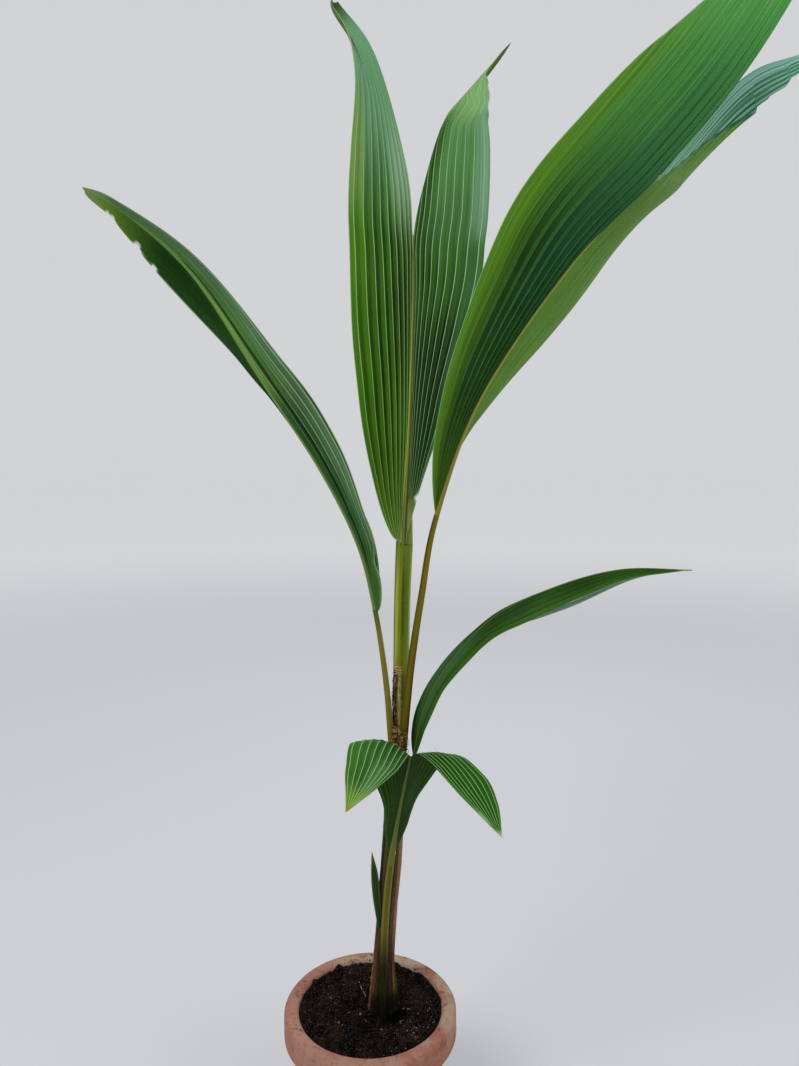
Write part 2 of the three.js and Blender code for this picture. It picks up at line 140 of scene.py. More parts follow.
SCALE_PATH = [(44, -4, STEM_SEAT - 4), (41, -5, 275), (38.5, -6, 305), (36, -6.5, 332)]
SCALE_RADII = [3.6, 3.6, 2.8, 0.5]
SPIKE_PATH = [(17, -1, 366), (13, -7, 405), (9.5, -10, 440), (6.5, -12, 482), (3.5, -14, 516)]
SPIKE_RADII = [3, 5, 6.6, 5.8, 0.4]
SPIKE_FACING = (-0.3, -1, 0)
FIBRE_PATH = [(41.5, 2, 655), (40.2, 2, 700), (39.4, 2, 757), (41, 2.5, 808)]
FIBRE_RADII = [3.4, 3.4, 3.0, 2.8]
SHEATH_EDGE_PATH = [(47.5, 6, 690), (46.6, 6, 735), (46.4, 6, 775), (47.5, 7, 806)]
SHEATH_EDGE_RADII = [4.2, 4.2, 4, 3]
STRIP_SIDES = 24
WRAP_HEIGHTS = (802, 805, 810, 814)
WRAP_START = 37.5
TUFT_SPAN = (37, 60)
TUFT_HEIGHTS = (686, 722)

# Blades: the depth of a pleat for its width by the rib and by the margin, and what fades towards a rim
RIB_PLEAT_DEPTH = 0.24
MARGIN_PLEAT_DEPTH = 0.1
BLADE_THICKNESS = 0.9
MARGIN_FADE = 7
RIM_SHARE = 0.15
DRY_REACH = 12
LEAST_WIDTH = 1.2
BLADE_START = 0.003
BLADE_END = 0.998
FORK_FADE = 0.15
CREST_SPREAD = 0.16
COLUMNS_PER_FOLD = 8
VEIN_RISE = 0.35
VEIN_SPREAD = 0.035
RIPPLE = 2.5

# The whole width of a blade as shares past both its edges, and the colour of its dry tears
WHOLE = (-1, 2)
DRY = (226, 232, 210)

CURVE_STEPS = 60
FRAME_STEPS = 80
UV_FOLDS = 10
STRAND_SIDES = 5
STRAND_ROWS = 8

# Camera: its place is in metres, and its tilt below the horizon in degrees
CAMERA_PLACE = (0.0474, -1.23, 1.141)
CAMERA_TILT = 5.5
LENS = 27.05
SENSOR = 36


@dataclass
class Half:
    """Half a blade. Its lists run from the blade's start to its tip, and its angles are in degrees.

    It hangs on the rib and then on its tail, or is stretched from them to its margin. A pinch is the
    middle, spread and depth of a waist, a bite the middle, reach and depth of a notch, and a step or a
    squeeze the start, end and depth of a narrowing, all as shares of the blade's length and width.
    """

    nodes: tuple
    hand: int
    tail: tuple = ()
    width: float = 0
    peak: float = 0.5
    swell: float = 1
    lifts: tuple = ()
    margin: tuple = ()
    crest: float = 0
    curls: tuple = (0, 0)
    veins: str = "fan"
    pleats: float = 1
    pinch: tuple = (0, 1, 0)
    bites: tuple = ()
    steps: tuple = ()
    smooth: float = 0.9
    squeeze: tuple = (2, 3, 0)


@dataclass
class Leaf:
    """A leaf: its bare stalk and its rib are one limb, and the halves of its blade hang on the rib."""

    name: str
    facing: tuple
    stalk: list
    rib: list
    stalk_radii: list
    stalk_flat: float
    channel: float
    rib_radii: list
    folds: int
    rows: int
    halves: list
    rib_nodes: tuple = ()
    bend: float = 1
    crowding: tuple = (1.4, 1.4)


CENTRE_LEAF = Leaf(
    name="centre", facing=FORWARD,
    stalk=[(42, 19, LIMB_FOOT), (47, 17, 700), (49.5, 17, 787), (51.5, 19, 899)],
    rib=[(55, 22, 1001), (64, 42, 1197), (69, 66, 1386), (69, 82, 1490)],
    stalk_radii=[8.5, 11.4, 12.4, 12.8, 13.4], stalk_flat=0.72, channel=0.75,
    rib_radii=[13.4, 4.8, 2.6, 1.4], folds=10, rows=190, crowding=(2.4, 1.6),
    halves=[
        Half(
            nodes=("centre_left_blade",), hand=-1,
            tail=((58, 100, 1604), (8, 130, 1785), (-54, 150, 1878)),
            width=108, peak=0.54, swell=0.46, pleats=0.6, pinch=(0, 0.007, 0.8),
            lifts=(46, 30, 24, 24, 56, 53), curls=(30, 20, 10, 10, 20, 120),
        ),
        Half(
            nodes=("centre_right_blade",), hand=1,
            tail=((90, 98, 1587), (119, 113, 1676), (158, 120, 1726), (228, 135, 1807)),
            width=115, peak=0.58, swell=0.89, pleats=0.7, pinch=(0, 0.02, 0.85),
            lifts=(69, 51, 32, 5, 38, 85), curls=(30, 20, 5, 0, 20, 230), veins="outer",
            bites=((0.087, 0.004, 0.18),), smooth=0.72, squeeze=(0.88, 0.91, 0.5),
            steps=((0.6, 0.72, 0.055), (0.79, 0.835, -0.13), (0.85, 0.88, 0.23)),
        ),
    ],
)

LEANING_LEAF = Leaf(
    name="leaning", facing=(-0.5, 0.8, 0.4),
    stalk=[(49.5, 2, LIMB_FOOT), (53, -8, 690), (64, -14, 809), (81, -26, 930)],
    rib=[(102, -45, 1051), (159, -105, 1218), (261, -205, 1376), (339, -300, 1454)],
    stalk_radii=[7, 6.8, 6.2, 5.4, 4.4], stalk_flat=0.85, channel=0.4,
    rib_radii=[4.2, 2.2, 1.4, 0.8], folds=10, rows=240, crowding=(2.1, 1.6),
    halves=[
        Half(
            nodes=("leaning_left_blade",), hand=1,
            tail=((399, -352, 1527), (434, -410, 1593), (463, -480, 1677)),
            width=114, peak=0.57, swell=0.94, pleats=0.8,
            lifts=(4, -5, 8, 27, 16, -25), curls=(-20, -15, -15, -15, -10, 0), veins="inner",
        ),
        Half(
            nodes=("leaning_right_blade",), hand=-1,
            tail=((410, -330, 1539), (471, -335, 1565), (543, -330, 1584)),
            width=136, peak=0.45, swell=1.12, pleats=0.42, smooth=0.5,
            lifts=(76, 38, 29, 29, 11, -80), curls=(0, 10, 10, 10, 0, 0),
            steps=((0.843, 0.847, 0.12), (0.868, 0.871, 0.05), (0.891, 0.896, 0.2)),
        ),
    ],
)

LEFT_LEAF = Leaf(
    name="left", facing=(0.6, 0.3, 0.6),
    stalk=[(37, 4, LIMB_FOOT), (34.6, 0, 692), (27, -7, 789)],
    rib=[
        (11, -20, 903), (-15, -33, 1009), (-70, -54, 1123), (-150, -82, 1250), (-236, -108, 1386),
        (-323, -130, 1466), (-368, -140, 1490),
    ],
    stalk_radii=[6.5, 6.3, 5.6, 4.9], stalk_flat=0.85, channel=0.4,
    rib_radii=[4.4, 2.8, 1.8, 1.2, 0.7], folds=6, rows=200,
    halves=[
        Half(
            nodes=("left_near_blade",), hand=-1, width=65, peak=0.56, swell=0.48,
            lifts=(10, 10, 27, 14, -2, -20), pleats=1.3, pinch=(0.112, 0.022, 0.26),
        ),
        Half(
            nodes=("left_far_blade",), hand=1, width=76, peak=0.67, swell=0.73,
            lifts=(87, 58, 26, 8, -9, 8), pleats=1.3,
            bites=((0.835, 0.005, 0.1), (0.882, 0.01, 0.2), (0.945, 0.006, 0.2), (0.957, 0.005, 0.16)),
        ),
    ],
)

ARCHING_LEAF = Leaf(
    name="arching", facing=(-0.5, 0, 0.8), stalk=[(40, 12, 520), (52, 12, 572), (61, 5, 620)],
    rib=[
        (70, -5, 668), (85, -20, 746), (120, -36, 820), (189, -62, 904), (274, -88, 953), (361, -110, 981),
        (451, -135, 984),
    ],
    stalk_radii=[5, 4.6, 4, 3.2], stalk_flat=0.9, channel=0.2,
    rib_radii=[3.2, 2.2, 1.6, 1.2, 0.8], folds=5, rows=150, rib_nodes=("arching_rib", "arching_rib_tip"),
    halves=[
        Half(
            nodes=("arching_near_blade", "arching_near_tip"), hand=1, width=57, peak=0.4, swell=0.79,
            lifts=(-25, -16, -11, -24, -29, -23),
        ),
        Half(
            nodes=("arching_far_blade", "arching_far_tip"), hand=-1, width=71, peak=0.4, swell=0.92,
            lifts=(48, 4, -25, -53, -73, -45), curls=(0, -60, -80, -80, -60, 0),
        ),
    ],
)

# Each half of the front leaf folds over forwards, and is stretched between its inner edge and margin
FRONT_LEAF = Leaf(
    name="front", facing=(0, 0.9, 0.4),
    stalk=[(20, -22, STEM_SEAT - 4), (21.5, -15.5, 300), (23.5, -12.5, 370), (27, -13, 434)],
    rib=[(33.5, -24, 499), (42.5, -36, 566), (53, -54, 632), (64, -80, 697)],
    stalk_radii=[7, 6.6, 6.2, 6.2, 5.6], stalk_flat=0.9, channel=0,
    rib_radii=[5.6, 3, 2, 1.2], folds=9, rows=130, bend=0.5, crowding=(1.7, 1.3),
    halves=[
        Half(
            nodes=("front_left_blade", "front_left_tip"), hand=-1, crest=14, pleats=0.25,
            tail=((42, -108, 684), (7, -130, 663), (-28, -146, 642)),
            margin=((26, -16, 543), (18, -22, 611), (-22, -66, 711), (-31, -100, 688), (-30, -126, 663)),
        ),
        Half(
            nodes=("front_right_blade", "front_right_tip"), hand=1, crest=4, pleats=0.25,
            tail=((89, -104, 700), (136, -130, 657), (191, -156, 609)),
            margin=((59, -20, 564), (81, -28, 622), (127, -66, 693), (170, -98, 677), (188, -130, 648)),
        ),
    ],
)


def clamp(value, low=0.0, high=1.0):
    return max(low, min(high, value))


def blend(a, b, share):
    return a + (b - a) * share


def ramp_up(value, low, high):
    """0 below low, 1 above high, and smooth between"""
    x = clamp((value - low) / (high - low))
    return x * x * (3 - 2 * x)


def bell(value, middle, spread):
    return math.exp(-(((value - middle) / spread) ** 2))


def smoothly(values, t):
    """The value or point at t, from 0 to 1, on a smooth curve through a list of them"""
    x = clamp(t) * (len(values) - 1)
    i = min(int(x), len(values) - 2)
    f = x - i
    b, c = values[i], values[i + 1]
    a = values[i - 1] if i > 0 else 2 * b - c
    d = values[i + 2] if i + 2 < len(values) else 2 * c - b
    leave, arrive = (c - a) * 0.5, (d - b) * 0.5
    bow = (b - c) * 2 + leave + arrive
    lean = (c - b) * 3 - leave * 2 - arrive
    return ((bow * f + lean) * f + leave) * f + b


def heading_at(points, t, near):
    """The direction of the smooth curve through points at t, read from a little before it to after"""
    return (smoothly(points, t + near) - smoothly(points, t - near)).normalized()


@dataclass
class Station:
    """A place on a path: the point, and the directions along, up from its face and to its side"""

    point: Vector
    along: Vector
    up: Vector
    side: Vector

    def around(self, turn):
        """The direction at an angle round the path, from its side towards its face"""
        return self.side * math.cos(turn) + self.up * math.sin(turn)


class Path:
    """A smooth path through points, with a face direction carried along it, from point number first"""

    def __init__(self, points, facing=FORWARD, first=0):
        self.points = [Vector(p) * MM for p in points]
        steps = CURVE_STEPS * (len(points) - 1)
        self.lengths = [0.0]
        last = self.points[0]
        for i in range(1, steps + 1):
            here = smoothly(self.points, i / steps)
            self.lengths.append(self.lengths[-1] + (here - last).length)
            last = here
        self.whole = self.lengths[-1]
        self.start = self.lengths[CURVE_STEPS * first] / self.whole
        self.length = self.whole * (1 - self.start)
        self.faces = []
        face = Vector(facing)
        for i in range(FRAME_STEPS + 1):
            face = self.squared(face, self.tangent(i / FRAME_STEPS))
            self.faces.append(face)

    @staticmethod
    def squared(face, along):
        return (face - along * face.dot(along)).normalized()

    def spot(self, share):
        """Where on the list of points a share of the whole length falls"""
        length = clamp(share) * self.whole
        i = max(1, min(bisect_left(self.lengths, length), len(self.lengths) - 1))
        low, high = self.lengths[i - 1], self.lengths[i]
        return (i - 1 + (length - low) / max(high - low, 1e-9)) / (len(self.lengths) - 1)

    def tangent(self, u):
        return heading_at(self.points, self.spot(self.start + (1 - self.start) * u), 1e-4)

    def at(self, u):
        share = self.start + (1 - self.start) * u
        along = self.tangent(u)
        up = self.squared(self.faces[int(clamp(u) * FRAME_STEPS)], along)
        beyond = (share - clamp(share)) * self.whole
        point = smoothly(self.points, self.spot(share)) + along * beyond
        return Station(point, along, up, along.cross(up))


@dataclass
class Spot:
    """A vertex to be: its place, its place on the surface, and three marks for the finish"""

    place: Vector
    uv: tuple
    marks: tuple = (0, 0, 0)


def woven(name, columns, rows, row_at, closed=False):
    """A mesh of columns and rows. row_at(share) gives the function that makes a spot in that row."""
    bm = bmesh.new()
    bmesh.ops.create_grid(bm, x_segments=columns, y_segments=rows, size=0.5)
    uv_layer = bm.loops.layers.uv.new("UVMap")
    marks_layer = bm.verts.layers.float_color.new("marks")
    row_makers = [row_at(r / rows) for r in range(rows + 1)]
    for vert in bm.verts:
        column = round((vert.co.x + 0.5) * columns)
        row = round((vert.co.y + 0.5) * rows)
        spot = row_makers[row](column)
        vert.co = spot.place
        vert[marks_layer] = (*spot.marks, 0)
        for loop in vert.link_loops:
            loop[uv_layer].uv = spot.uv
    bmesh.ops.remove_doubles(bm, verts=bm.verts, dist=1e-6)
    bmesh.ops.dissolve_degenerate(bm, dist=1e-7, edges=bm.edges)
    if closed:
        close(bm)
    return piece_from(bm, name)


def close(bm):
    """Fills the open ends of a body, and turns its faces outwards"""
    bmesh.ops.holes_fill(bm, edges=[e for e in bm.edges if e.is_boundary], sides=0)
    bmesh.ops.recalc_face_normals(bm, faces=bm.faces)


def piece_from(bm, name):
    """A mesh object at the origin from a finished bmesh"""
    mesh = bpy.data.meshes.new(name)
    bm.to_mesh(mesh)
    bm.free()
    mesh.shade_smooth()
    piece = bpy.data.objects.new(name, mesh)
    bpy.context.collection.objects.link(piece)
    return piece


def settle(piece, slot, nodes, *materials):
    """Gives a piece its finish, hangs it on the root body, and hides the model's parts that it stands in for
    """
    for material in materials:
        piece.data.materials.append(material)
    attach(piece, "root")
    if nodes:
        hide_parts(*nodes)


# Blades


@dataclass
class Cut:
    """How half a blade lies across its edge at one place along it"""

    point: Vector
    outwards: Vector
    through: Vector
    reach: float
    crest: float


def outline(u, peak, swell):
    """The width of half a blade at u, as a share of the widest"""
    fall = swell * (1 - peak) / peak
    return (max(u, 0) / peak) ** swell * (max(1 - u, 0) / (1 - peak)) ** fall


def lifted_cuts(leaf, half):
    """Cuts of half a blade that hangs on its edge at an angle to the leaf's face"""
    path = Path([*leaf.stalk, *leaf.rib, *half.tail], leaf.facing, len(leaf.stalk))

    def at(u):
        station = path.at(u)
        lift = math.radians(smoothly(half.lifts, u))
        outwards = station.side * (half.hand * math.cos(lift)) + station.up * math.sin(lift)
        through = station.side * (-half.hand * math.sin(lift)) + station.up * math.cos(lift)
        reach = half.width * MM * outline(u, half.peak, half.swell)
        return Cut(station.point, outwards, through, reach, 0)

    return at, path.length


def stretched_cuts(leaf, half):
    """Cuts of half a blade that is stretched between its inner edge and its margin"""
    inner = [Vector(p) * MM for p in [*leaf.rib, *half.tail]]
    outer = [Vector(p) * MM for p in [leaf.rib[0], *half.margin, half.tail[-1]]]

    def at(u):
        point = smoothly(inner, u)
        across = smoothly(outer, u) - point
        outwards = across.normalized()
        along = heading_at(inner, u, 1e-3) + heading_at(outer, u, 1e-3)
        through = along.cross(outwards).normalized() * half.hand
        crest = half.crest * MM * bell(u, leaf.bend, CREST_SPREAD)
        return Cut(point, outwards, through, across.length, crest)

    marks = [smoothly(inner, i / FRAME_STEPS) for i in range(FRAME_STEPS + 1)]
    return at, sum((b - a).length for a, b in zip(marks, marks[1:]))


def rib_insets(leaf, half, length):
    """How far from its edge half a blade starts: in the side of the rib, and on the edge past the fork"""
    rib = Path([*leaf.stalk, *leaf.rib], leaf.facing, len(leaf.stalk))
    fork = leaf.bend if half.margin else min(rib.length / length, 1)

    def at(u):
        fade = clamp(1 - (u - fork) / FORK_FADE)
        return 0.6 * smoothly(leaf.rib_radii, u / fork) * MM * fade

    return at


def cupped(over, width, curl):
    """Bends a distance across a sheet into an arc: the distance over, the rise, and the turn there"""
    if abs(curl) < 0.01:
        return over, 0.0, 0.0
    radius = width / curl
    turn = curl * over / width - curl / 2
    rise = radius * (math.cos(curl / 2) - math.cos(turn))
    return radius * (math.sin(turn) + math.sin(curl / 2)), rise, turn


def pleat(fraction):
    """The height of the pleated sheet across one fold, from -1 in its valley to 1 on its ridge"""
    sharp = 1 - 2 * abs(2 * fraction - 1)
    soft = -math.cos(2 * math.pi * fraction)
    return 0.65 * sharp + 0.35 * soft


def fold_place(column):
    """Where a column of the mesh lies, counted in folds from the rib, with more columns by the ridges"""
    fold, part = divmod(column / COLUMNS_PER_FOLD, 1)
    local = 2 * part - 1
    return fold + 0.5 + 0.5 * math.copysign(abs(local) ** 1.7, local)


def bitten(half, u):
    """The share of its width that is left at u where something has eaten or torn the margin"""
    left = 1.0
    for middle, reach, depth in half.bites:
        x = (u - middle) / reach
        if abs(x) < 1:
            left -= depth * math.sqrt(1 - x * x)
    for start, end, drop in half.steps:
        left *= 1 - drop * ramp_up(u, start, end)
    return left


def blade_row(leaf, half, u, cut, inset, whole, fan):
    """The function that lays the columns of one row of half a blade"""
    width = whole * bitten(half, u)
    hurt = max((bell(u, middle, 1.6 * reach) for middle, reach, _ in half.bites), default=0)
    curl = math.radians(smoothly(half.curls, u))
    fading = ramp_up(1 - u, 0.0, 1 - half.smooth)
    crowding = blend(*leaf.crowding, ramp_up(u, 0.1, 0.6))
    start, end, drop = half.squeeze
    squeeze = 1 - drop * ramp_up(u, start, end)

    def by_rim(distance):
        return blend(RIM_SHARE, 1, ramp_up(distance, 0, MARGIN_FADE * MM))

    def lay(column):
        share = (fold_place(column) / leaf.folds) ** crowding
        if half.veins == "outer":
            over = width - min((1 - share) * fan, width)
            share = 1 - (width - over) / fan
        else:
            over = min(share * fan, width)
            share = over / fan
        fold = leaf.folds * share ** (1 / crowding)
        fold_width = crowding * share ** (1 - 1 / crowding) * fan / leaf.folds
        edge = width - over
        smooth = by_rim(edge)
        if half.veins == "outer":
            smooth *= by_rim(over)
        depth = blend(RIB_PLEAT_DEPTH, MARGIN_PLEAT_DEPTH, share) * fold_width
        depth = depth * fading * smooth * half.pleats
        fraction = fold % 1
        vein = bell(fraction, 0.5, VEIN_SPREAD) * min(1, fold_width / 0.008)
        ripple = RIPPLE * MM * share * noise.noise(Vector((u * 9, fold * 0.35, leaf.folds)))
        rise = depth * pleat(fraction) + VEIN_RISE * MM * vein * fading + ripple
        arc, lift, turn = cupped(over, width, curl)
        arch = 4 * (over / width) * (1 - over / width)
        normal = cut.through * math.cos(turn) - cut.outwards * math.sin(turn)
        place = cut.point + cut.outwards * (inset + arc * squeeze)
        place += cut.through * (lift * squeeze + cut.crest * arch)
        dry = hurt * clamp(1 - edge / (DRY_REACH * MM))
        rim = -dry if dry > 0.05 else edge * 10
        return Spot(place + normal * rise, (fold / UV_FOLDS, u), (rim, u, over / width))

    return lay


def make_half(leaf, half, upper, under):
    cuts, length = stretched_cuts(leaf, half) if half.margin else lifted_cuts(leaf, half)
    insets = rib_insets(leaf, half, length)
    waist, spread, depth = half.pinch
    widest = 0.0

    def row_at(share):
        nonlocal widest
        eased = blend(share, ramp_up(share, 0, 1), 0.5)
        u = blend(BLADE_START, BLADE_END, eased)
        cut = cuts(u)
        inset = insets(u)
        pinched = cut.reach * (1 - depth * bell(u, waist, spread))
        width = max(pinched - inset, LEAST_WIDTH * MM)
        widest = max(widest, width)
        return blade_row(leaf, half, u, cut, inset, width, width if half.veins == "fan" else widest)

    piece = woven(half.nodes[0] + "_leaf", leaf.folds * COLUMNS_PER_FOLD, leaf.rows, row_at)
    face_up(piece, cuts(0.5).through)
    shell = piece.modifiers.new("Thickness", "SOLIDIFY")
    shell.thickness = BLADE_THICKNESS * MM
    shell.offset = 0
    shell.material_offset = 1
    settle(piece, "leaf", half.nodes, upper, under)


def face_up(piece, upwards):
    """Turns a sheet's faces so that most of them look towards its upper side"""
    if sum(p.normal.dot(upwards) * p.area for p in piece.data.polygons) < 0:
        piece.data.flip_normals()


# Limbs


def limb_row(station, radius, sides, flat, channel, u):
    """The function that lays one ring of a limb that may be flat and grooved on its face side"""

    def lay(column):
        turn = 2 * math.pi * column / sides - math.pi / 2
        rise = math.sin(turn)
        groove = channel * rise * rise if rise > 0 else 0
        place = station.point + station.side * (radius * math.cos(turn))
        place += station.up * (radius * flat * (rise - groove))
        return Spot(place, (column / sides, u), (rise * 0.5 + 0.5, u, radius * 10))

    return lay


def make_limb(name, path, span, radii, flats, channels, sides=28, rows=90):
    def row_at(share):
        station = path.at(blend(*span, share))
        radius = smoothly(radii, share) * MM
        return limb_row(station, radius, sides, smoothly(flats, share), smoothly(channels, share), share)

    return woven(name, sides, rows, row_at, closed=True)


def make_stalk(leaf, stalk_finish, rib_finish):
    points = [*leaf.stalk, *leaf.rib]
    path = Path(points, leaf.facing)
    start = Path(points, leaf.facing, len(leaf.stalk)).start
    flats, channels = (leaf.stalk_flat, leaf.stalk_flat), (leaf.channel, leaf.channel)
    stalk = make_limb(leaf.name + "_leaf_stalk", path, (0, start + 0.004), leaf.stalk_radii, flats, channels)
    settle(stalk, "stalk", (leaf.name + "_stalk",), stalk_finish)
    flats, channels = (leaf.stalk_flat, 0.95, 1, 1, 1), (leaf.channel, 0.1, 0, 0, 0)
    rib = make_limb(leaf.name + "_leaf_rib", path, (start, 1), leaf.rib_radii, flats, channels, rows=120)
    settle(rib, "stalk", leaf.rib_nodes or (leaf.name + "_rib",), rib_finish)


# Shader nodes


def srgb(*colour):
    """A colour read on a scale of 0 to 255, as the linear values that a shader takes"""

    def linear(value):
        x = value / 255
        return x / 12.92 if x <= 0.04045 else ((x + 0.055) / 1.055) ** 2.4

    return (*(linear(value) for value in colour), 1)


class Web:
    """The nodes of one material or group. A method adds a node, and gives its output or its outputs."""

    def __init__(self, tree):
        self.tree = tree

    def feed(self, node, inputs):
        """Sets inputs: each is a socket to link from, a value, or a colour on a scale of 0 to 255"""
        for name, value in inputs.items():
            socket = node.inputs[name]
            if isinstance(value, bpy.types.NodeSocket):
                self.tree.links.new(value, socket)
            elif socket.type == "RGBA" and len(value) == 3:
                socket.default_value = srgb(*value)
            else:
                socket.default_value = value
        return node.outputs

    def put(self, kind, inputs, **settings):
        node = self.tree.nodes.new("ShaderNode" + kind)
        for name, value in settings.items():
            setattr(node, name, value)
        return self.feed(node, inputs)

    def place(self, group, inputs):
        return self.put("Group", inputs, node_tree=group)

    def mottle(self, scale):
        return self.place(MOTTLE, {"Vector": self.position(), "Scale": scale})

    def fibres(self, fineness):
        return self.place(FIBRES, {"Vector": self.position(), "Fineness": fineness})

    def uv(self):
        return self.put("TexCoord", {})["UV"]

    def position(self):
        return self.put("TexCoord", {})["Object"]

    def shade(self, top):
        """A mask that is strong by the soil and gone at the height top"""
        height = self.split(self.position())["Z"]
        return self.between(height, SHADE_FOOT * MM, top * MM, 0.9, 0.0)

    def marks(self):
        """The marks that a mesh carries, as separate values"""
        return self.split(self.put("Attribute", {}, attribute_name="marks")["Vector"])

    def split(self, vector):
        return self.put("SeparateXYZ", {0: vector})

    def scaled(self, vector, scale):
        return self.put("VectorMath", {0: vector, "Scale": scale}, operation="SCALE")[0]

    def stretched(self, vector, size):
        return self.put("Mapping", {"Vector": vector, "Scale": size})["Vector"]

    def mix(self, share, a, b):
        return self.put("Mix", {0: share, 6: a, 7: b}, data_type="RGBA")[2]

    def mix_value(self, share, a, b):
        return self.put("Mix", {0: share, 2: a, 3: b}, data_type="FLOAT")[0]

    def maths(self, how, a, b=0.0):
        return self.put("Math", {0: a, 1: b}, operation=how)[0]

    def times(self, a, b):
        return self.maths("MULTIPLY", a, b)

    def plus(self, a, b):
        return self.maths("ADD", a, b)

    def minus(self, a, b):
        return self.maths("SUBTRACT", a, b)

    def between(self, value, low, high, start=0.0, end=1.0):
        """Maps a value smoothly from the range low to high onto start to end"""
        inputs = {"Value": value, "From Min": low, "From Max": high, "To Min": start, "To Max": end}
        return self.put("MapRange", inputs, interpolation_type="SMOOTHSTEP")["Result"]

    def grainy(self, vector, scale, detail, roughness):
        inputs = {"Vector": vector, "Scale": scale, "Detail": detail, "Roughness": roughness}
        return self.put("TexNoise", inputs)["Fac"]

    def bump(self, height, strength, distance):
        return self.put("Bump", {"Height": height, "Strength": strength, "Distance": distance})["Normal"]

    def bands(self, value, stops):
        """Colours that blend from stop to stop as a value runs from 0 to 1, and end as they began"""
        node = self.tree.nodes.new("ShaderNodeValToRGB")
        self.feed(node, {0: value})
        first, last = node.color_ramp.elements
        first.position, first.color = 0, srgb(*stops[0][1:])
        last.position, last.color = 1, srgb(*stops[0][1:])
        for position, *colour in stops[1:]:
            node.color_ramp.elements.new(position).color = srgb(*colour)
        return node.outputs["Color"]

    def surface(self, colour, roughness, normal=None, specular=0.5):
        """Feeds the shader of a material"""
        inputs = {"Base Color": colour, "Roughness": roughness, "Specular IOR Level": specular}
        if normal:
            inputs["Normal"] = normal
        self.feed(self.tree.nodes["Principled BSDF"], inputs)


def floats(*names):
    return dict.fromkeys(names, "Float")


def new_group(name, inputs, outputs):
    """An empty shader group: its web, its input node's sockets and its output node"""
    tree = bpy.data.node_groups.new(name, "ShaderNodeTree")
    for way, sockets in (("INPUT", inputs), ("OUTPUT", outputs)):
        for label, kind in sockets.items():
            tree.interface.new_socket(name=label, in_out=way, socket_type="NodeSocket" + kind)
    taken = tree.nodes.new("NodeGroupInput")
    return Web(tree), taken.outputs, tree.nodes.new("NodeGroupOutput")


def pleat_group():
    """Masks that follow a blade's pleats: veins on the ridges, valleys, streaks, the side of each fold that
    is painted lit, and a tone for each fold
    """
    inputs = {"UV": "Vector", "Vein Width": "Float"}
    outputs = floats("Vein", "Valley", "Streaks", "Side", "Tone")
    web, taken, given = new_group("pleat_marks", inputs, outputs)
    folds = web.times(web.split(taken["UV"])["X"], UV_FOLDS)
    part = web.maths("FRACT", folds)
    off_ridge = web.maths("ABSOLUTE", web.minus(part, 0.5))
    off_vein = web.maths("DIVIDE", off_ridge, taken["Vein Width"])
    lines = web.stretched(taken["UV"], (260, 5, 1))
    sides = web.maths("FLOOR", web.times(folds, 2.0))
    masks = {
        "Vein": web.between(off_vein, 0.5, 1.0, 1.0, 0.0),
        "Valley": web.between(off_ridge, 0.3, 0.5),
        "Streaks": web.grainy(lines, 1.0, 4.0, 0.6),
        # Side marks the side of each fold that is painted lit; the other side is painted in shade
        "Side": web.between(part, 0.42, 0.58),
        "Tone": web.put("TexWhiteNoise", {"W": sides}, noise_dimensions="1D")["Value"],
    }
    web.feed(given, masks)
    return web.tree


def mottle_group():
    """Soft clouds, fine grain and sparse spots in the object's own space"""
    inputs = {"Vector": "Vector", "Scale": "Float"}
    web, taken, given = new_group("mottle", inputs, floats("Clouds", "Grain", "Spots"))
    vector = web.scaled(taken["Vector"], taken["Scale"])
    masks = {
        "Clouds": web.grainy(vector, 1.0, 4.0, 0.6),
        "Grain": web.grainy(vector, 14.0, 4.0, 0.7),
        "Spots": web.between(web.grainy(vector, 6.0, 2.0, 0.5), 0.64, 0.7),
    }
    web.feed(given, masks)
    return web.tree


def fibre_group():
    """Fibres that run up a limb: fine lines, coarse strands and breaks across them"""
    inputs = {"Vector": "Vector", "Fineness": "Float"}
    web, taken, given = new_group("fibres", inputs, floats("Lines", "Breaks"))
    vector = web.scaled(taken["Vector"], taken["Fineness"])
    breaks = web.grainy(web.stretched(vector, (0.3, 0.3, 1.2)), 0.5, 4.0, 0.7)
    lines = web.grainy(web.stretched(vector, (1, 1, 0.08)), 1.6, 5.0, 0.65)
    web.feed(given, {"Lines": lines, "Breaks": web.between(breaks, 0.5, 0.62)})
    return web.tree


def ground_group():
    """The ground colour of a blade: clouds, painted light and shade on the two sides of each fold, and a
    tone for its outer part, partly its own and partly painted light through the thin margin
    """
    inputs = {"UV": "Vector", **floats("Across", "Clouds")}
    inputs |= dict.fromkeys(("Deep", "Light", "Margin"), "Color")
    inputs |= floats("Contrast", "Margin Share")
    web, taken, given = new_group("blade_ground", inputs, {"Colour": "Color"})
    pleats = web.place(PLEATS, {"UV": taken["UV"]})
    clouds = web.between(taken["Clouds"], 0.3, 0.7)
    # Painted light and shade: one side of each fold is painted lighter and the other darker, as much as
    # Contrast asks
    lit = web.mix_value(taken["Contrast"], clouds, pleats["Side"])
    colour = web.mix(lit, taken["Deep"], taken["Light"])
    toned = web.times(web.times(pleats["Tone"], taken["Contrast"]), 0.6)
    colour = web.mix(toned, colour, taken["Deep"])
    # The margin tone is partly the leaf's own colour and partly painted light shining through the thin blade
    outer = web.times(web.between(taken["Across"], 0.5, 0.95), taken["Margin Share"])
    web.feed(given, {"Colour": web.mix(outer, colour, taken["Margin"])})
    return web.tree


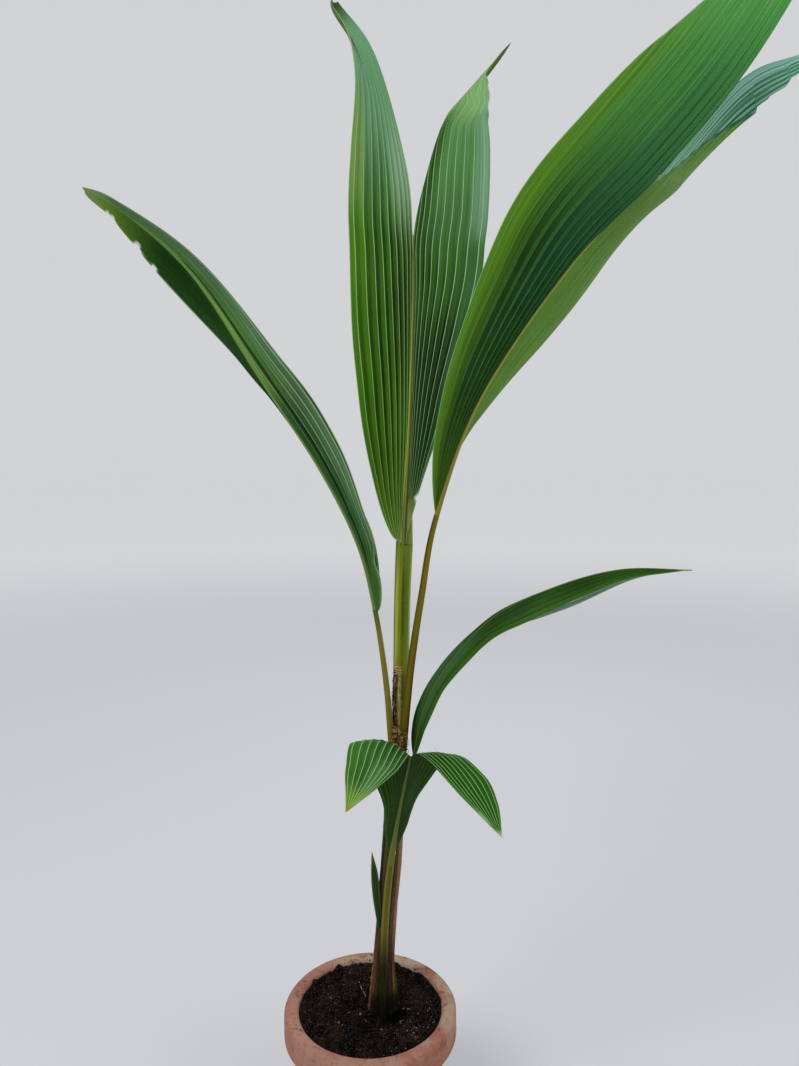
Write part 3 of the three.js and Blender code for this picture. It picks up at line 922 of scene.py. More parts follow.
def patch_group():
    """A mask for a stretch of a blade, ragged along the pleats at its ends, and kept to the painted lit side
    of each fold as much as Lit Sides asks
    """
    names = ("Along", "Across", "From", "To", "Inner", "Outer", "Blur", "Amount", "Lit Sides", "Slant")
    web, taken, given = new_group("blade_patch", {"UV": "Vector", **floats(*names)}, {"Mask": "Float"})
    pleats = web.place(PLEATS, {"UV": taken["UV"]})
    along = web.plus(taken["Along"], web.between(pleats["Streaks"], 0.2, 0.8, -0.05, 0.05))
    # Lit Sides keeps the mask to the side of each fold that is painted lit
    mask = web.times(taken["Amount"], web.mix_value(taken["Lit Sides"], 1.0, pleats["Side"]))
    gone = web.minus(taken["Along"], taken["From"])
    outer = web.plus(taken["Outer"], web.times(taken["Slant"], gone))
    limits = ((along, taken["From"], taken["To"]), (taken["Across"], taken["Inner"], outer))
    for value, low, high in limits:
        for end, first, last in ((low, 0.0, 1.0), (high, 1.0, 0.0)):
            before = web.minus(end, taken["Blur"])
            after = web.plus(end, taken["Blur"])
            mask = web.times(mask, web.between(value, before, after, first, last))
    web.feed(given, {"Mask": mask})
    return web.tree


def line_group():
    """What lies over a blade's ground colour: streaks, shaded valleys, veins, rim, dry tears and its tip"""
    inputs = {"Colour": "Color", "UV": "Vector", **floats("Edge", "Along"), "Vein": "Color", "Tip": "Color"}
    inputs |= floats("Vein Share", "Vein Width", "Vein End", "Tip Start", "Streak")
    web, taken, given = new_group("blade_lines", inputs, {"Colour": "Color", "Relief": "Float"})
    pleats = web.place(PLEATS, {"UV": taken["UV"], "Vein Width": taken["Vein Width"]})
    streaky = web.between(pleats["Streaks"], 0.35, 0.65, -0.18, 0.14)
    streaky = web.plus(1.0, web.times(streaky, taken["Streak"]))
    shaded = web.times(streaky, web.between(pleats["Valley"], 0.0, 1.0, 1.0, 0.8))
    colour = web.scaled(taken["Colour"], shaded)
    fading = web.between(taken["Along"], web.minus(taken["Vein End"], 0.15), taken["Vein End"], 1.0, 0.1)
    vein = web.times(web.times(pleats["Vein"], fading), taken["Vein Share"])
    colour = web.mix(vein, colour, taken["Vein"])
    colour = web.mix(web.between(taken["Edge"], 0.002, 0.01, 0.6, 0.0), colour, taken["Vein"])
    colour = web.mix(web.between(taken["Along"], taken["Tip Start"], 1.0), colour, taken["Tip"])
    colour = web.mix(web.between(taken["Edge"], -0.65, -0.1, 1.0, 0.0), colour, DRY)
    relief = web.plus(web.times(pleats["Streaks"], 0.5), pleats["Vein"])
    web.feed(given, {"Colour": colour, "Relief": relief})
    return web.tree


PLEATS = pleat_group()
MOTTLE = mottle_group()
FIBRES = fibre_group()
GROUND = ground_group()
PATCH = patch_group()
LINES = line_group()


def new_material(name):
    """A material and the web of its nodes"""
    material = bpy.data.materials.new(name)
    material.use_nodes = True
    return material, Web(material.node_tree)


@dataclass
class Patch:
    """A stretch of a blade with a colour of its own: from and to along it, then across it"""

    colour: tuple
    along: tuple
    across: tuple = WHOLE
    amount: float = 1
    blur: float = 0.04
    # lit_sides keeps the colour to the side of each fold that is painted lit, as painted light
    lit_sides: float = 0
    slant: float = 0


@dataclass
class Greens:
    """The colours of one face of a blade"""

    deep: tuple
    light: tuple
    # margin: partly the leaf's own colour, partly painted light shining through the thin margin
    margin: tuple
    vein: tuple
    tip: tuple
    vein_share: float = 0.8
    vein_width: float = 0.04
    vein_end: float = 1.1
    margin_share: float = 0.5
    tip_start: float = 0.93
    # contrast: how strongly the two sides of each fold are painted lit and shaded, and how much each fold's
    # tone varies
    contrast: float = 0.4
    streak: float = 1
    roughness: float = 0.4
    patches: tuple = ()


def sockets_for(thing, *fields):
    """Fields of a data class, under the names that the sockets of a group have"""
    return {field.replace("_", " ").title(): getattr(thing, field) for field in fields}


def leaf_material(name, **colours):
    greens = Greens(**colours)
    material, web = new_material(name)
    marks = web.marks()
    place = {"UV": web.uv(), "Along": marks["Y"], "Across": marks["Z"]}
    mottle = web.mottle(9.0)
    ground = {"UV": place["UV"], "Across": place["Across"], "Clouds": mottle["Clouds"]}
    ground |= sockets_for(greens, "deep", "light", "margin", "contrast", "margin_share")
    colour = web.place(GROUND, ground)["Colour"]
    for patch in greens.patches:
        limits = dict(zip(("From", "To", "Inner", "Outer"), (*patch.along, *patch.across)))
        stretch = place | limits | sockets_for(patch, "blur", "amount", "lit_sides", "slant")
        colour = web.mix(web.place(PATCH, stretch)["Mask"], colour, patch.colour)
    lines = {"Colour": colour, "UV": place["UV"], "Edge": marks["X"], "Along": marks["Y"]}
    lines |= sockets_for(greens, "vein", "tip", "vein_share", "vein_width", "vein_end", "tip_start")
    lines["Streak"] = greens.streak
    face = web.place(LINES, lines)
    low, high = greens.roughness - 0.08, greens.roughness + 0.1
    roughness = web.between(mottle["Grain"], 0.2, 0.8, low, high)
    normal = web.bump(face["Relief"], 0.3, 0.0006)
    web.surface(face["Colour"], roughness, normal, 0.08)
    return material


def stalk_material(name, stops, foot, streak, foot_span=(0, 0.35), foot_share=0.8, head=None):
    """A smooth stalk with bands of colour round it, which hold painted highlights and shade as well as its
    own colours, another colour at its foot, and fine streaks
    """
    material, web = new_material(name)
    along = web.marks()["Y"]
    streaks = web.grainy(web.stretched(web.uv(), (34, 4, 1)), 1.0, 4.0, 0.6)
    mottle = web.mottle(25.0)
    colour = web.bands(web.split(web.uv())["X"], stops)
    colour = web.mix(web.between(along, *foot_span, foot_share, 0.0), colour, foot)
    if head:
        colour = web.mix(web.between(along, 0.8, 1.0, 0.0, 0.8), colour, head)
    colour = web.mix(web.between(streaks, 0.45, 0.75, 0.0, 0.55), colour, streak)
    colour = web.mix(web.times(mottle["Spots"], 0.3), colour, foot)
    colour = web.mix(web.shade(STALK_SHADE_TOP), colour, (12, 10, 5))
    roughness = web.between(mottle["Grain"], 0.2, 0.8, 0.36, 0.52)
    normal = web.bump(streaks, 0.3, 0.0006)
    web.surface(colour, roughness, normal, 0.12)
    return material


# Finishes

CENTRE_LEFT = leaf_material(
    "centre_left_upper",
    deep=(24, 68, 4), light=(82, 134, 24), margin=(84, 140, 18), vein=(178, 208, 140), tip=(60, 80, 30),
    vein_end=0.86, contrast=0.6,
    # The pale bluish patches over the upper blade, from 0.64 along, and by the rib, from 0.58 to 0.74, are
    # painted sheen
    patches=(
        Patch((10, 42, 2), (0.32, 0.56), (-1, 0.35), 0.75, 0.14),
        Patch((96, 128, 18), (-1, 0.1), WHOLE, 0.7, 0.08),
        Patch((120, 174, 130), (0.64, 1.2), WHOLE, 0.75, 0.12),
        Patch((30, 76, 22), (0.44, 0.66), (0.36, 0.72), 0.45, 0.1),
        Patch((150, 182, 150), (0.58, 0.74), (-1, 0.28), 0.55, 0.07),
        Patch((136, 172, 74), (0.6, 0.76), (0.78, 2), 0.7, 0.05),
        Patch((30, 60, 18), (0.86, 1.2), (0.62, 2), 1, 0.02),
    ),
)
CENTRE_RIGHT = leaf_material(
    "centre_right_upper",
    deep=(8, 38, 0), light=(54, 112, 14), margin=(84, 134, 84), vein=(164, 200, 156), tip=(116, 102, 66),
    vein_end=0.84, margin_share=0.35, contrast=0.6,
    # The three pale patches on its upper part, from 0.6 along, are painted sheen
    patches=(
        Patch((2, 24, 0), (0.08, 0.4), (-1, 0.8), 0.65, 0.12),
        Patch((88, 140, 66), (0.44, 0.64), (0.3, 0.7), 0.22, 0.09),
        Patch((156, 160, 56), (-1, 0.075), WHOLE, 1, 0.015),
        Patch((96, 152, 86), (0.62, 1.2), (0.16, 2), 0.75, 0.12),
        Patch((138, 184, 116), (0.82, 1.0), WHOLE, 0.85, 0.05),
        Patch((128, 172, 140), (0.6, 0.95), (0.78, 2), 0.75, 0.06),
    ),
)
CENTRE_UNDER = leaf_material(
    "centre_leaf_under",
    deep=(28, 70, 10), light=(70, 116, 34), margin=(84, 128, 36), vein=(112, 146, 66), tip=(92, 92, 48),
    vein_share=0.4, roughness=0.5,
)
LEANING_LEFT_UNDER = leaf_material(
    "leaning_left_under",
    deep=(16, 52, 12), light=(66, 122, 46), margin=(92, 142, 26), vein=(116, 200, 96), tip=(96, 116, 44),
    vein_share=0.5, streak=1.7, margin_share=0.9, contrast=0.8,
    patches=(
        Patch((84, 122, 20), (-1, 0.16), WHOLE, 0.35, 0.1),
        Patch((86, 158, 74), (0.6, 1.2), WHOLE, 0.85, 0.16),
        Patch((32, 88, 68), (0.4, 0.86), (-1, 0.4), 0.4, 0.12),
        Patch((104, 152, 30), (0.45, 0.9), (0.82, 2), 0.55, 0.08),
        Patch((116, 206, 104), (0.8, 1.2), WHOLE, 0.75, 0.1),
    ),
)
LEANING_RIGHT_UNDER = leaf_material(
    "leaning_right_under",
    deep=(82, 120, 34), light=(94, 144, 48), margin=(100, 154, 44), vein=(150, 186, 140), tip=(120, 138, 84),
    vein_share=0.35, vein_width=0.08, contrast=0.35, streak=2.2,
    patches=(
        Patch((166, 184, 112), (0.683, 0.692), (0.3, 0.9), 0.5, 0.004),
        Patch((44, 108, 74), (0.66, 1.2), (-1, 0), 1, 0.02, slant=6),
        Patch((88, 156, 126), (0.85, 1.2), WHOLE, 0.75, 0.02),
        # A pale patch on the lit side of each fold: painted light
        Patch((136, 190, 158), (0.66, 1.2), (-1, 0), 0.8, 0.02, lit_sides=1, slant=5.4),
        Patch((150, 198, 184), (0.8, 1.2), (-1, 0.32), 0.75, 0.05),
        Patch((24, 84, 64), (0.68, 1.2), (0.16, 0.19), 0.7, 0.012),
        Patch((24, 84, 64), (0.7, 1.2), (0.36, 0.39), 0.8, 0.012),
        Patch((24, 84, 64), (0.72, 1.2), (0.52, 0.55), 0.8, 0.012),
        Patch((24, 84, 64), (0.76, 1.2), (0.7, 0.74), 0.8, 0.012),
        Patch((24, 84, 64), (0.8, 1.2), (0.86, 0.88), 0.8, 0.012),
    ),
)
LEFT_NEAR_UNDER = leaf_material(
    "left_near_under",
    deep=(44, 88, 36), light=(94, 136, 80), margin=(80, 124, 84), vein=(186, 210, 160), tip=(112, 140, 60),
    vein_share=0.75, vein_width=0.13, contrast=0.5, streak=2.4,
    patches=(
        Patch((66, 108, 34), (-1, 0.12), WHOLE, 0.8, 0.06),
        Patch((130, 174, 86), (0.5, 1.0), (-1, 0.36), 0.85, 0.03),
        Patch((92, 142, 62), (0.5, 0.98), (0.3, 0.66), 0.6, 0.04),
        Patch((104, 142, 104), (0.2, 0.98), (0.55, 0.9), 0.35, 0.1),
        Patch((8, 44, 10), (0.1, 0.8), (0.23, 0.28), 0.9, 0.012),
        Patch((8, 44, 10), (0.12, 0.8), (0.49, 0.54), 0.95, 0.012),
        Patch((8, 44, 10), (0.2, 0.6), (0.74, 0.77), 0.8, 0.012),
        Patch((22, 60, 24), (0.06, 0.5), (0.9, 2), 0.7, 0.03),
    ),
)
LEFT_FAR_UNDER = leaf_material(
    "left_far_under",
    deep=(14, 52, 4), light=(30, 80, 12), margin=(32, 84, 14), vein=(92, 136, 48), tip=(108, 148, 44),
    tip_start=0.82, vein_share=0.3, streak=1.5,
    patches=(Patch((160, 190, 150), (0.2, 0.86), (0.96, 2), 0.85, 0.012),),
)
ARCHING_UPPER = leaf_material(
    "arching_upper",
    deep=(18, 54, 2), light=(40, 86, 14), margin=(52, 100, 20), vein=(92, 136, 56), tip=(170, 168, 108),
    tip_start=0.96, vein_share=0.25, contrast=0.3,
    patches=(
        # A painted highlight along the lower blade
        Patch((84, 122, 84), (0.1, 0.4), (-1, 0.5), 0.35, 0.1),
        Patch((96, 66, 40), (0.445, 0.46), (0.9, 2), 1, 0.008),
    ),
)
# The under face's pale bluish-white colours are painted reflection, brightening a face that looks down into
# shade
ARCHING_UNDER = leaf_material(
    "arching_under",
    deep=(56, 104, 70), light=(196, 222, 206), margin=(84, 128, 100), vein=(228, 238, 232),
    tip=(140, 144, 84), vein_width=0.09, contrast=0.8, streak=2.5,
)
FRONT_LEFT_UPPER = leaf_material(
    "front_left_upper",
    deep=(18, 62, 8), light=(54, 108, 38), margin=(64, 126, 30), vein=(176, 206, 146), tip=(170, 128, 48),
    tip_start=0.92,
    patches=(
        Patch((112, 152, 24), (0.82, 1.2), WHOLE, 0.8, 0.08),
        # A painted sheen over the middle of the lobe
        Patch((96, 144, 84), (0.62, 0.86), (0.1, 0.5), 0.5, 0.08),
    ),
)
FRONT_RIGHT_UPPER = leaf_material(
    "front_right_upper",
    deep=(12, 58, 2), light=(44, 106, 18), margin=(46, 104, 22), vein=(164, 202, 128), tip=(186, 200, 160),
    tip_start=0.955, contrast=0.45,
    # A painted highlight near the tip
    patches=(Patch((150, 190, 150), (0.9, 0.945), (-1, 0.22), 0.7, 0.015),),
)
FRONT_UNDER = leaf_material(
    "front_under",
    deep=(6, 30, 0), light=(42, 80, 4), margin=(34, 74, 4), vein=(94, 122, 36), tip=(110, 110, 44),
    vein_share=0.7, vein_width=0.1, contrast=0.7, roughness=0.5,
)
LEANING_UPPER = leaf_material(
    "leaning_upper",
    deep=(26, 72, 30), light=(68, 118, 78), margin=(88, 134, 84), vein=(170, 196, 170), tip=(116, 134, 60),
    vein_share=0.7,
    patches=(Patch((122, 156, 140), (0.4, 0.9), WHOLE, 0.4, 0.2),),
)
LEAF_UPPER = leaf_material(
    "leaf_upper",
    deep=(18, 60, 6), light=(50, 106, 24), margin=(68, 120, 30), vein=(150, 186, 108), tip=(120, 128, 52),
    vein_share=0.7,
)
SPIKE = leaf_material(
    "spike",
    deep=(24, 44, 14), light=(46, 70, 26), margin=(96, 120, 66), vein=(92, 112, 60), tip=(110, 88, 50),
    tip_start=0.8, vein_share=0.0,
)

# The stops of a stalk are where round it, from 0 to 1, and the colour there: its own colours, with painted
# highlights and painted shade along its lit and shaded sides
CENTRE_STALK = stalk_material(
    "centre_stalk",
    (
        (0, 96, 108, 40), (0.25, 168, 186, 134), (0.32, 176, 196, 130), (0.37, 106, 134, 32),
        (0.45, 90, 112, 10), (0.5, 70, 84, 0), (0.53, 130, 144, 30), (0.57, 142, 152, 22),
        (0.61, 190, 200, 80), (0.65, 188, 194, 84), (0.69, 84, 92, 24),
    ),
    foot=(156, 158, 54), streak=(122, 136, 38), foot_span=(0.42, 0.64), foot_share=0.42, head=(110, 126, 42),
)
LEANING_STALK = stalk_material(
    "leaning_stalk",
    (
        (0, 120, 106, 12), (0.08, 110, 98, 8), (0.2, 72, 62, 2), (0.3, 72, 66, 20), (0.7, 100, 94, 40),
        (0.82, 150, 142, 88), (0.9, 118, 108, 40),
    ),
    foot=(104, 88, 10), streak=(126, 116, 18),
)
LEFT_STALK = stalk_material(
    "left_stalk",
    (
        (0, 108, 104, 12), (0.1, 96, 96, 14), (0.2, 72, 78, 10), (0.5, 90, 92, 40), (0.7, 156, 148, 100),
        (0.78, 116, 106, 34), (0.9, 122, 112, 14),
    ),
    foot=(92, 82, 22), streak=(118, 110, 34), head=(58, 84, 20),
)
FRONT_STALK = stalk_material(
    "front_stalk",
    (
        (0, 92, 84, 8), (0.07, 92, 92, 24), (0.13, 124, 112, 44), (0.25, 72, 66, 26), (0.75, 60, 56, 22),
        (0.87, 118, 116, 56), (0.94, 90, 84, 8),
    ),
    foot=(24, 24, 2), streak=(56, 76, 14), foot_span=(0.3, 0.62), foot_share=1,
)
CENTRE_RIB = stalk_material(
    "centre_rib",
    (
        (0, 70, 92, 30), (0.25, 120, 140, 60), (0.33, 160, 178, 100), (0.37, 112, 136, 40),
        (0.41, 140, 152, 70), (0.45, 86, 98, 22), (0.5, 66, 78, 4), (0.53, 156, 164, 76),
        (0.56, 104, 118, 20), (0.61, 182, 192, 84), (0.66, 150, 166, 60), (0.72, 100, 118, 34),
    ),
    foot=(110, 124, 40), streak=(84, 98, 34), foot_span=(0, 0.1), foot_share=0.25,
)
LEANING_RIB = stalk_material(
    "leaning_rib", ((0, 150, 142, 62), (0.5, 130, 132, 54)), foot=(126, 106, 34), streak=(190, 176, 100)
)
LEFT_RIB = stalk_material(
    "left_rib", ((0, 104, 138, 70), (0.5, 110, 140, 76)), foot=(96, 104, 36), streak=(142, 170, 100)
)
OLIVE_RIB = stalk_material(
    "olive_rib", ((0, 92, 102, 34), (0.5, 86, 102, 38)), foot=(98, 106, 36), streak=(74, 86, 28)
)
SCALE = stalk_material(
    "foot_scale",
    (
        (0, 60, 54, 20), (0.3, 44, 38, 16), (0.5, 72, 64, 26), (0.66, 158, 152, 104), (0.8, 120, 110, 64),
        (0.9, 58, 50, 22),
    ),
    foot=(54, 46, 20), streak=(48, 42, 16),
)
STEM_HIGH = (
    (0, 164, 138, 110), (0.07, 152, 122, 90), (0.15, 124, 92, 62), (0.205, 44, 26, 8), (0.3, 60, 52, 18),
    (0.36, 86, 70, 40), (0.43, 50, 42, 16), (0.5, 94, 72, 54), (0.75, 84, 62, 44),
)
STEM_LOW = (
    (0, 104, 78, 66), (0.12, 76, 52, 38), (0.2, 26, 24, 4), (0.3, 30, 34, 4), (0.36, 58, 38, 24),
    (0.42, 118, 80, 58), (0.49, 166, 120, 94), (0.75, 84, 58, 44),
)


def stem_material():
    """Dry brown sheaths, green where they are young, dark green and reddish at the foot, with painted shade
    from the soil on its front low down
    """
    material, web = new_material("stem_bark")
    crease, along, _ = web.marks()
    around = web.split(web.uv())["X"]
    fibres = web.fibres(700.0)
    grain = web.mottle(40.0)["Grain"]
    low, high = web.bands(around, STEM_LOW), web.bands(around, STEM_HIGH)
    colour = web.mix(web.between(along, 0.22, 0.42), low, high)
    ragged = web.plus(along, web.between(fibres["Lines"], 0.3, 0.7, -0.08, 0.08))
    young = web.times(web.between(around, 0.2, 0.3), web.between(ragged, 0.66, 0.82))
    colour = web.mix(young, colour, (62, 82, 28))
    colour = web.mix(web.between(fibres["Lines"], 0.35, 0.6, 0.45, 0.0), colour, (40, 26, 12))
    colour = web.mix(web.between(grain, 0.56, 0.7, 0.0, 0.45), colour, (142, 118, 94))
    colour = web.mix(web.times(crease, 0.8), colour, (26, 16, 8))
    colour = web.mix(web.times(fibres["Breaks"], 0.35), colour, (40, 26, 14))
    # Painted shade from the soil on the stem's front, low down
    ahead = web.between(around, 0.38, 0.44, 1.0, 0.0)
    soil_shade_front = web.times(ahead, web.shade(STEM_SHADE_TOP))
    colour = web.mix(soil_shade_front, colour, (12, 9, 6))
    roughness = web.between(grain, 0.2, 0.8, 0.6, 0.85)
    normal = web.bump(web.plus(fibres["Lines"], web.times(grain, 0.6)), 0.6, 0.0012)
    web.surface(colour, roughness, normal, 0.08)
    return material


def fibre_material(name, dark, pale):
    material, web = new_material(name)
    lines = web.fibres(1500.0)["Lines"]
    colour = web.mix(web.between(lines, 0.3, 0.7), dark, pale)
    colour = web.mix(web.between(web.mottle(90.0)["Clouds"], 0.4, 0.7, 0.0, 0.6), colour, dark)
    web.surface(colour, 0.85, web.bump(lines, 0.6, 0.0008))
    return material


def terracotta_material():
    """Weathered clay: cream and whitish bloom, dark specks round the rim, and darker towards the bottom"""
    material, web = new_material("terracotta")
    bloomed, dirty, low_darkening = web.marks()
    mottle, coarse, fine = web.mottle(16.0), web.mottle(7.0), web.mottle(60.0)
    clouds, grain = mottle["Clouds"], mottle["Grain"]
    colour = web.mix(web.between(clouds, 0.3, 0.7), (150, 92, 74), (172, 122, 104))
    colour = web.mix(web.between(grain, 0.35, 0.75, 0.0, 0.4), colour, (124, 80, 66))
    colour = web.mix(web.times(web.between(coarse["Clouds"], 0.4, 0.66), 0.4), colour, (160, 130, 120))
    bloom = web.times(web.between(clouds, 0.36, 0.56), bloomed)
    colour = web.mix(web.times(bloom, 0.85), colour, (162, 142, 120))
    stain = web.times(web.between(fine["Clouds"], 0.55, 0.66, 0.0, 0.7), dirty)
    colour = web.mix(stain, colour, (84, 60, 46))
    colour = web.mix(web.times(fine["Spots"], dirty), colour, (44, 34, 26))
    colour = web.mix(web.times(web.mottle(24.0)["Spots"], dirty), colour, (38, 28, 22))
    # Darker towards the bottom of the wall
    low_darkening = web.times(web.between(coarse["Clouds"], 0.35, 0.6, 1.0, 0.0), low_darkening)
    colour = web.mix(web.times(low_darkening, 0.6), colour, (104, 66, 54))
    roughness = web.between(grain, 0.2, 0.8, 0.72, 0.95)
    normal = web.bump(web.plus(grain, web.times(clouds, 0.8)), 0.35, 0.001)
    web.surface(colour, roughness, normal, 0.2)
    return material


def soil_material():
    """Damp, nearly black soil with fine pale grains in it that partly stand in for glints of light, and
    painted shade, down to black, in the pit beside the stem
    """
    material, web = new_material("potting_soil")
    mottle, fine, wide = web.mottle(110.0), web.mottle(160.0), web.mottle(34.0)
    clouds, grain = mottle["Clouds"], mottle["Grain"]
    colour = web.mix(web.between(clouds, 0.4, 0.66), (1, 1, 1), (26, 16, 12))
    colour = web.mix(web.between(wide["Clouds"], 0.5, 0.62, 0.0, 0.55), colour, (46, 31, 25))
    colour = web.mix(web.between(wide["Clouds"], 0.36, 0.46, 0.8, 0.0), colour, (0, 0, 0))
    colour = web.mix(web.between(grain, 0.58, 0.7, 0.0, 0.75), colour, (86, 70, 60))
    # Pale specks: fine grains, partly standing in for glints of light
    colour = web.mix(web.times(fine["Spots"], 0.8), colour, (150, 142, 132))
    # Painted shade, black, in the pit beside the stem
    level = web.put("VectorMath", {0: web.position(), 1: (1, 1, 0)}, operation="MULTIPLY")[0]
    pit = Vector((*PIT, 0)) * MM
    away = web.put("VectorMath", {0: level, 1: pit}, operation="DISTANCE")["Value"]
    colour = web.mix(web.between(away, PIT_SHADE_CORE * MM, PIT_SHADE_EDGE * MM, 0.95, 0.0), colour, (0, 0, 0))
    roughness = web.between(clouds, 0.2, 0.8, 0.55, 0.95)
    normal = web.bump(web.plus(grain, clouds), 0.8, 0.002)
    web.surface(colour, roughness, normal, 0.03)
    return material


# Pot


def quarter(r, z, radius, start, end, steps=8):
    """Points on a round, from one angle to another in degrees"""
    turns = [math.radians(blend(start, end, i / steps)) for i in range(steps + 1)]
    return [(r + radius * math.cos(turn), z + radius * math.sin(turn)) for turn in turns]


def straight(start, end, steps):
    """Points on a line, without its last"""
    shares = [i / steps for i in range(steps)]
    return [(blend(start[0], end[0], share), blend(start[1], end[1], share)) for share in shares]


def pot_section():
    lip = POT_HEIGHT - LIP_ROUND
    neck = RIM_RADIUS - BAND_STEP
    inner_foot = FOOT_RADIUS - POT_WALL
    return [
        *straight((0, 0), (FOOT_RADIUS - FOOT_ROUND, 0), 8),
        *quarter(FOOT_RADIUS - FOOT_ROUND, FOOT_ROUND, FOOT_ROUND, -90, 0, 4),
        *straight((FOOT_RADIUS, FOOT_ROUND + 1), (neck, BAND_FOOT), 40),
        (neck, BAND_FOOT),
        *quarter(RIM_RADIUS - BAND_ROUND, BAND_FOOT + BAND_ROUND, BAND_ROUND, -90, 0, 6),
        *straight((RIM_RADIUS, BAND_FOOT + BAND_ROUND + 1), (RIM_RADIUS, lip), 8),
        *quarter(RIM_RADIUS - LIP_ROUND, lip, LIP_ROUND, 0, 90),
        *quarter(MOUTH_RADIUS + LIP_ROUND, lip, LIP_ROUND, 90, 180),
        *straight((MOUTH_RADIUS, lip - 1), (MOUTH_RADIUS, BAND_FOOT), 8),
        *straight((MOUTH_RADIUS, BAND_FOOT), (inner_foot, POT_FLOOR), 12),
        *straight((inner_foot, POT_FLOOR), (0, POT_FLOOR), 6),
        (0, POT_FLOOR),
    ]


def spin(bm, section, steps):
    """Turns a half section, listed as radius and height, about the pot's axis"""
    verts = [bm.verts.new((r * MM, 0, z * MM)) for r, z in section]
    edges = [bm.edges.new(pair) for pair in zip(verts, verts[1:])]
    turn = {"cent": (0, 0, 0), "axis": (0, 0, 1), "angle": 2 * math.pi, "steps": steps}
    bmesh.ops.spin(bm, geom=verts + edges, use_merge=True, **turn)
    bmesh.ops.remove_doubles(bm, verts=bm.verts, dist=1e-6)


def hand_thrown(vert, marks_layer):
    """Gives the wall its throwing lines and its marks: mineral bloom, dirt, and a darker tone towards the
    bottom
    """
    radius = math.hypot(vert.co.x, vert.co.y)
    z = vert.co.z / MM
    if radius > THROWN_RADIUS * MM and THROWN_FOOT < z < THROWN_TOP:
        line = noise.noise(Vector((z * 0.16, 0, 3))) * 0.5
        lump = noise.noise(vert.co * 22) * 0.5
        grow = 1 + (line + lump) * MM / radius
        vert.co.x *= grow
        vert.co.y *= grow
    turn = math.atan2(vert.co.y, vert.co.x)
    back_right = clamp(math.cos(turn - math.radians(BLOOM_TURN)) * 0.9 + 0.35)
    front_right = 0.4 * clamp(math.cos(turn - math.radians(FAINT_BLOOM_TURN)) * 1.4)
    high = ramp_up(z, BAND_FOOT, POT_HEIGHT - 10)
    inside = 1 if radius < (MOUTH_RADIUS + 10) * MM and z > POT_FLOOR + 5 else 0
    bloom = clamp(high * max(back_right, front_right) + inside * back_right * 0.5)
    behind = clamp(0.5 + 0.8 * math.sin(turn))
    dirt = clamp(high * max(behind, 0.35) + inside)
    # How much darker the wall grows towards the bottom
    low_darkening = ramp_up(z, LOW_DARKENING_TOP, LOW_DARKENING_FOOT)
    vert[marks_layer] = (bloom, dirt, low_darkening, 0)


def make_pot(material):
    bm = bmesh.new()
    marks_layer = bm.verts.layers.float_color.new("marks")
    spin(bm, pot_section(), POT_STEPS)
    bmesh.ops.recalc_face_normals(bm, faces=bm.faces)
    for vert in bm.verts:
        hand_thrown(vert, marks_layer)
    pot = piece_from(bm, "clay_pot")
    drill(pot)
    settle(pot, "terracotta", ("pot",), material)


def drill(pot):
    """Cuts the drain holes through the pot's floor"""
    bm = bmesh.new()
    size = {"radius1": DRAIN_RADIUS * MM, "radius2": DRAIN_RADIUS * MM, "depth": 4 * POT_FLOOR * MM}
    for i in range(DRAIN_HOLES):
        turn = 2 * math.pi * i / DRAIN_HOLES
        place = Matrix.Translation(Vector((math.cos(turn), math.sin(turn), 0)) * DRAIN_CIRCLE * MM)
        bmesh.ops.create_cone(bm, cap_ends=True, segments=24, matrix=place, **size)
    bits = piece_from(bm, "drill_bits")
    cut = pot.modifiers.new("Drain holes", "BOOLEAN")
    cut.object = bits
    cut.operation = "DIFFERENCE"
    cut.solver = "EXACT"
    drilled = bpy.data.meshes.new_from_object(pot.evaluated_get(bpy.context.evaluated_depsgraph_get()))
    pot.modifiers.clear()
    pot.data = drilled
    bpy.data.objects.remove(bits)


# Soil


def inner_radius(z):
    if z > BAND_FOOT:
        return MOUTH_RADIUS
    return blend(FOOT_RADIUS - POT_WALL, MOUTH_RADIUS, (z - POT_FLOOR) / (BAND_FOOT - POT_FLOOR))


def soil_level(x, y):
    """The height of the soil's crumbly top, in millimetres"""
    r = math.hypot(x, y)
    front = clamp(-y / MOUTH_RADIUS)
    level = blend(STEM_SEAT + 2, SOIL_EDGE - 4 * front, ramp_up(r, 50, MOUTH_RADIUS))
    away_squared = (x - HOLLOW[0]) ** 2 + (y - HOLLOW[1]) ** 2
    hollow = HOLLOW_DEPTH * math.exp(-away_squared / HOLLOW_SPREAD_SQUARED)
    spot = Vector((x, y, 0))
    bank = 7 * ramp_up(r, 96, MOUTH_RADIUS) * clamp(2 * noise.noise(spot * 0.04 + Vector((7, 3, 0))))
    lumps = 3.6 * noise.fractal(spot * 0.06, 1, 2, 4)
    crumbs = 1.9 * noise.noise(spot * 0.22) + 1.1 * noise.noise(spot * 0.6)
    return level - 2.5 - hollow + bank + lumps + crumbs


def make_soil(material):
    bm = bmesh.new()
    wall = [(inner_radius(z) - SOIL_GAP, z) for z in (SOIL_FOOT, BAND_FOOT, SOIL_EDGE - 14)]
    shares = [1 - i / SOIL_RINGS for i in range(SOIL_RINGS + 1)]
    top = [((MOUTH_RADIUS - SOIL_GAP) * share, SOIL_EDGE) for share in shares]
    spin(bm, [(0, SOIL_FOOT), *wall, *top], SOIL_STEPS)
    for vert in bm.verts:
        if vert.co.z > (SOIL_EDGE - 1) * MM:
            vert.co.z = soil_level(vert.co.x / MM, vert.co.y / MM) * MM
    bmesh.ops.recalc_face_normals(bm, faces=bm.faces)
    settle(piece_from(bm, "soil_body"), "soil", ("soil",), material)


def on_top(x, y, rise=1.2):
    return Vector((x, y, soil_level(x, y) + rise)) * MM


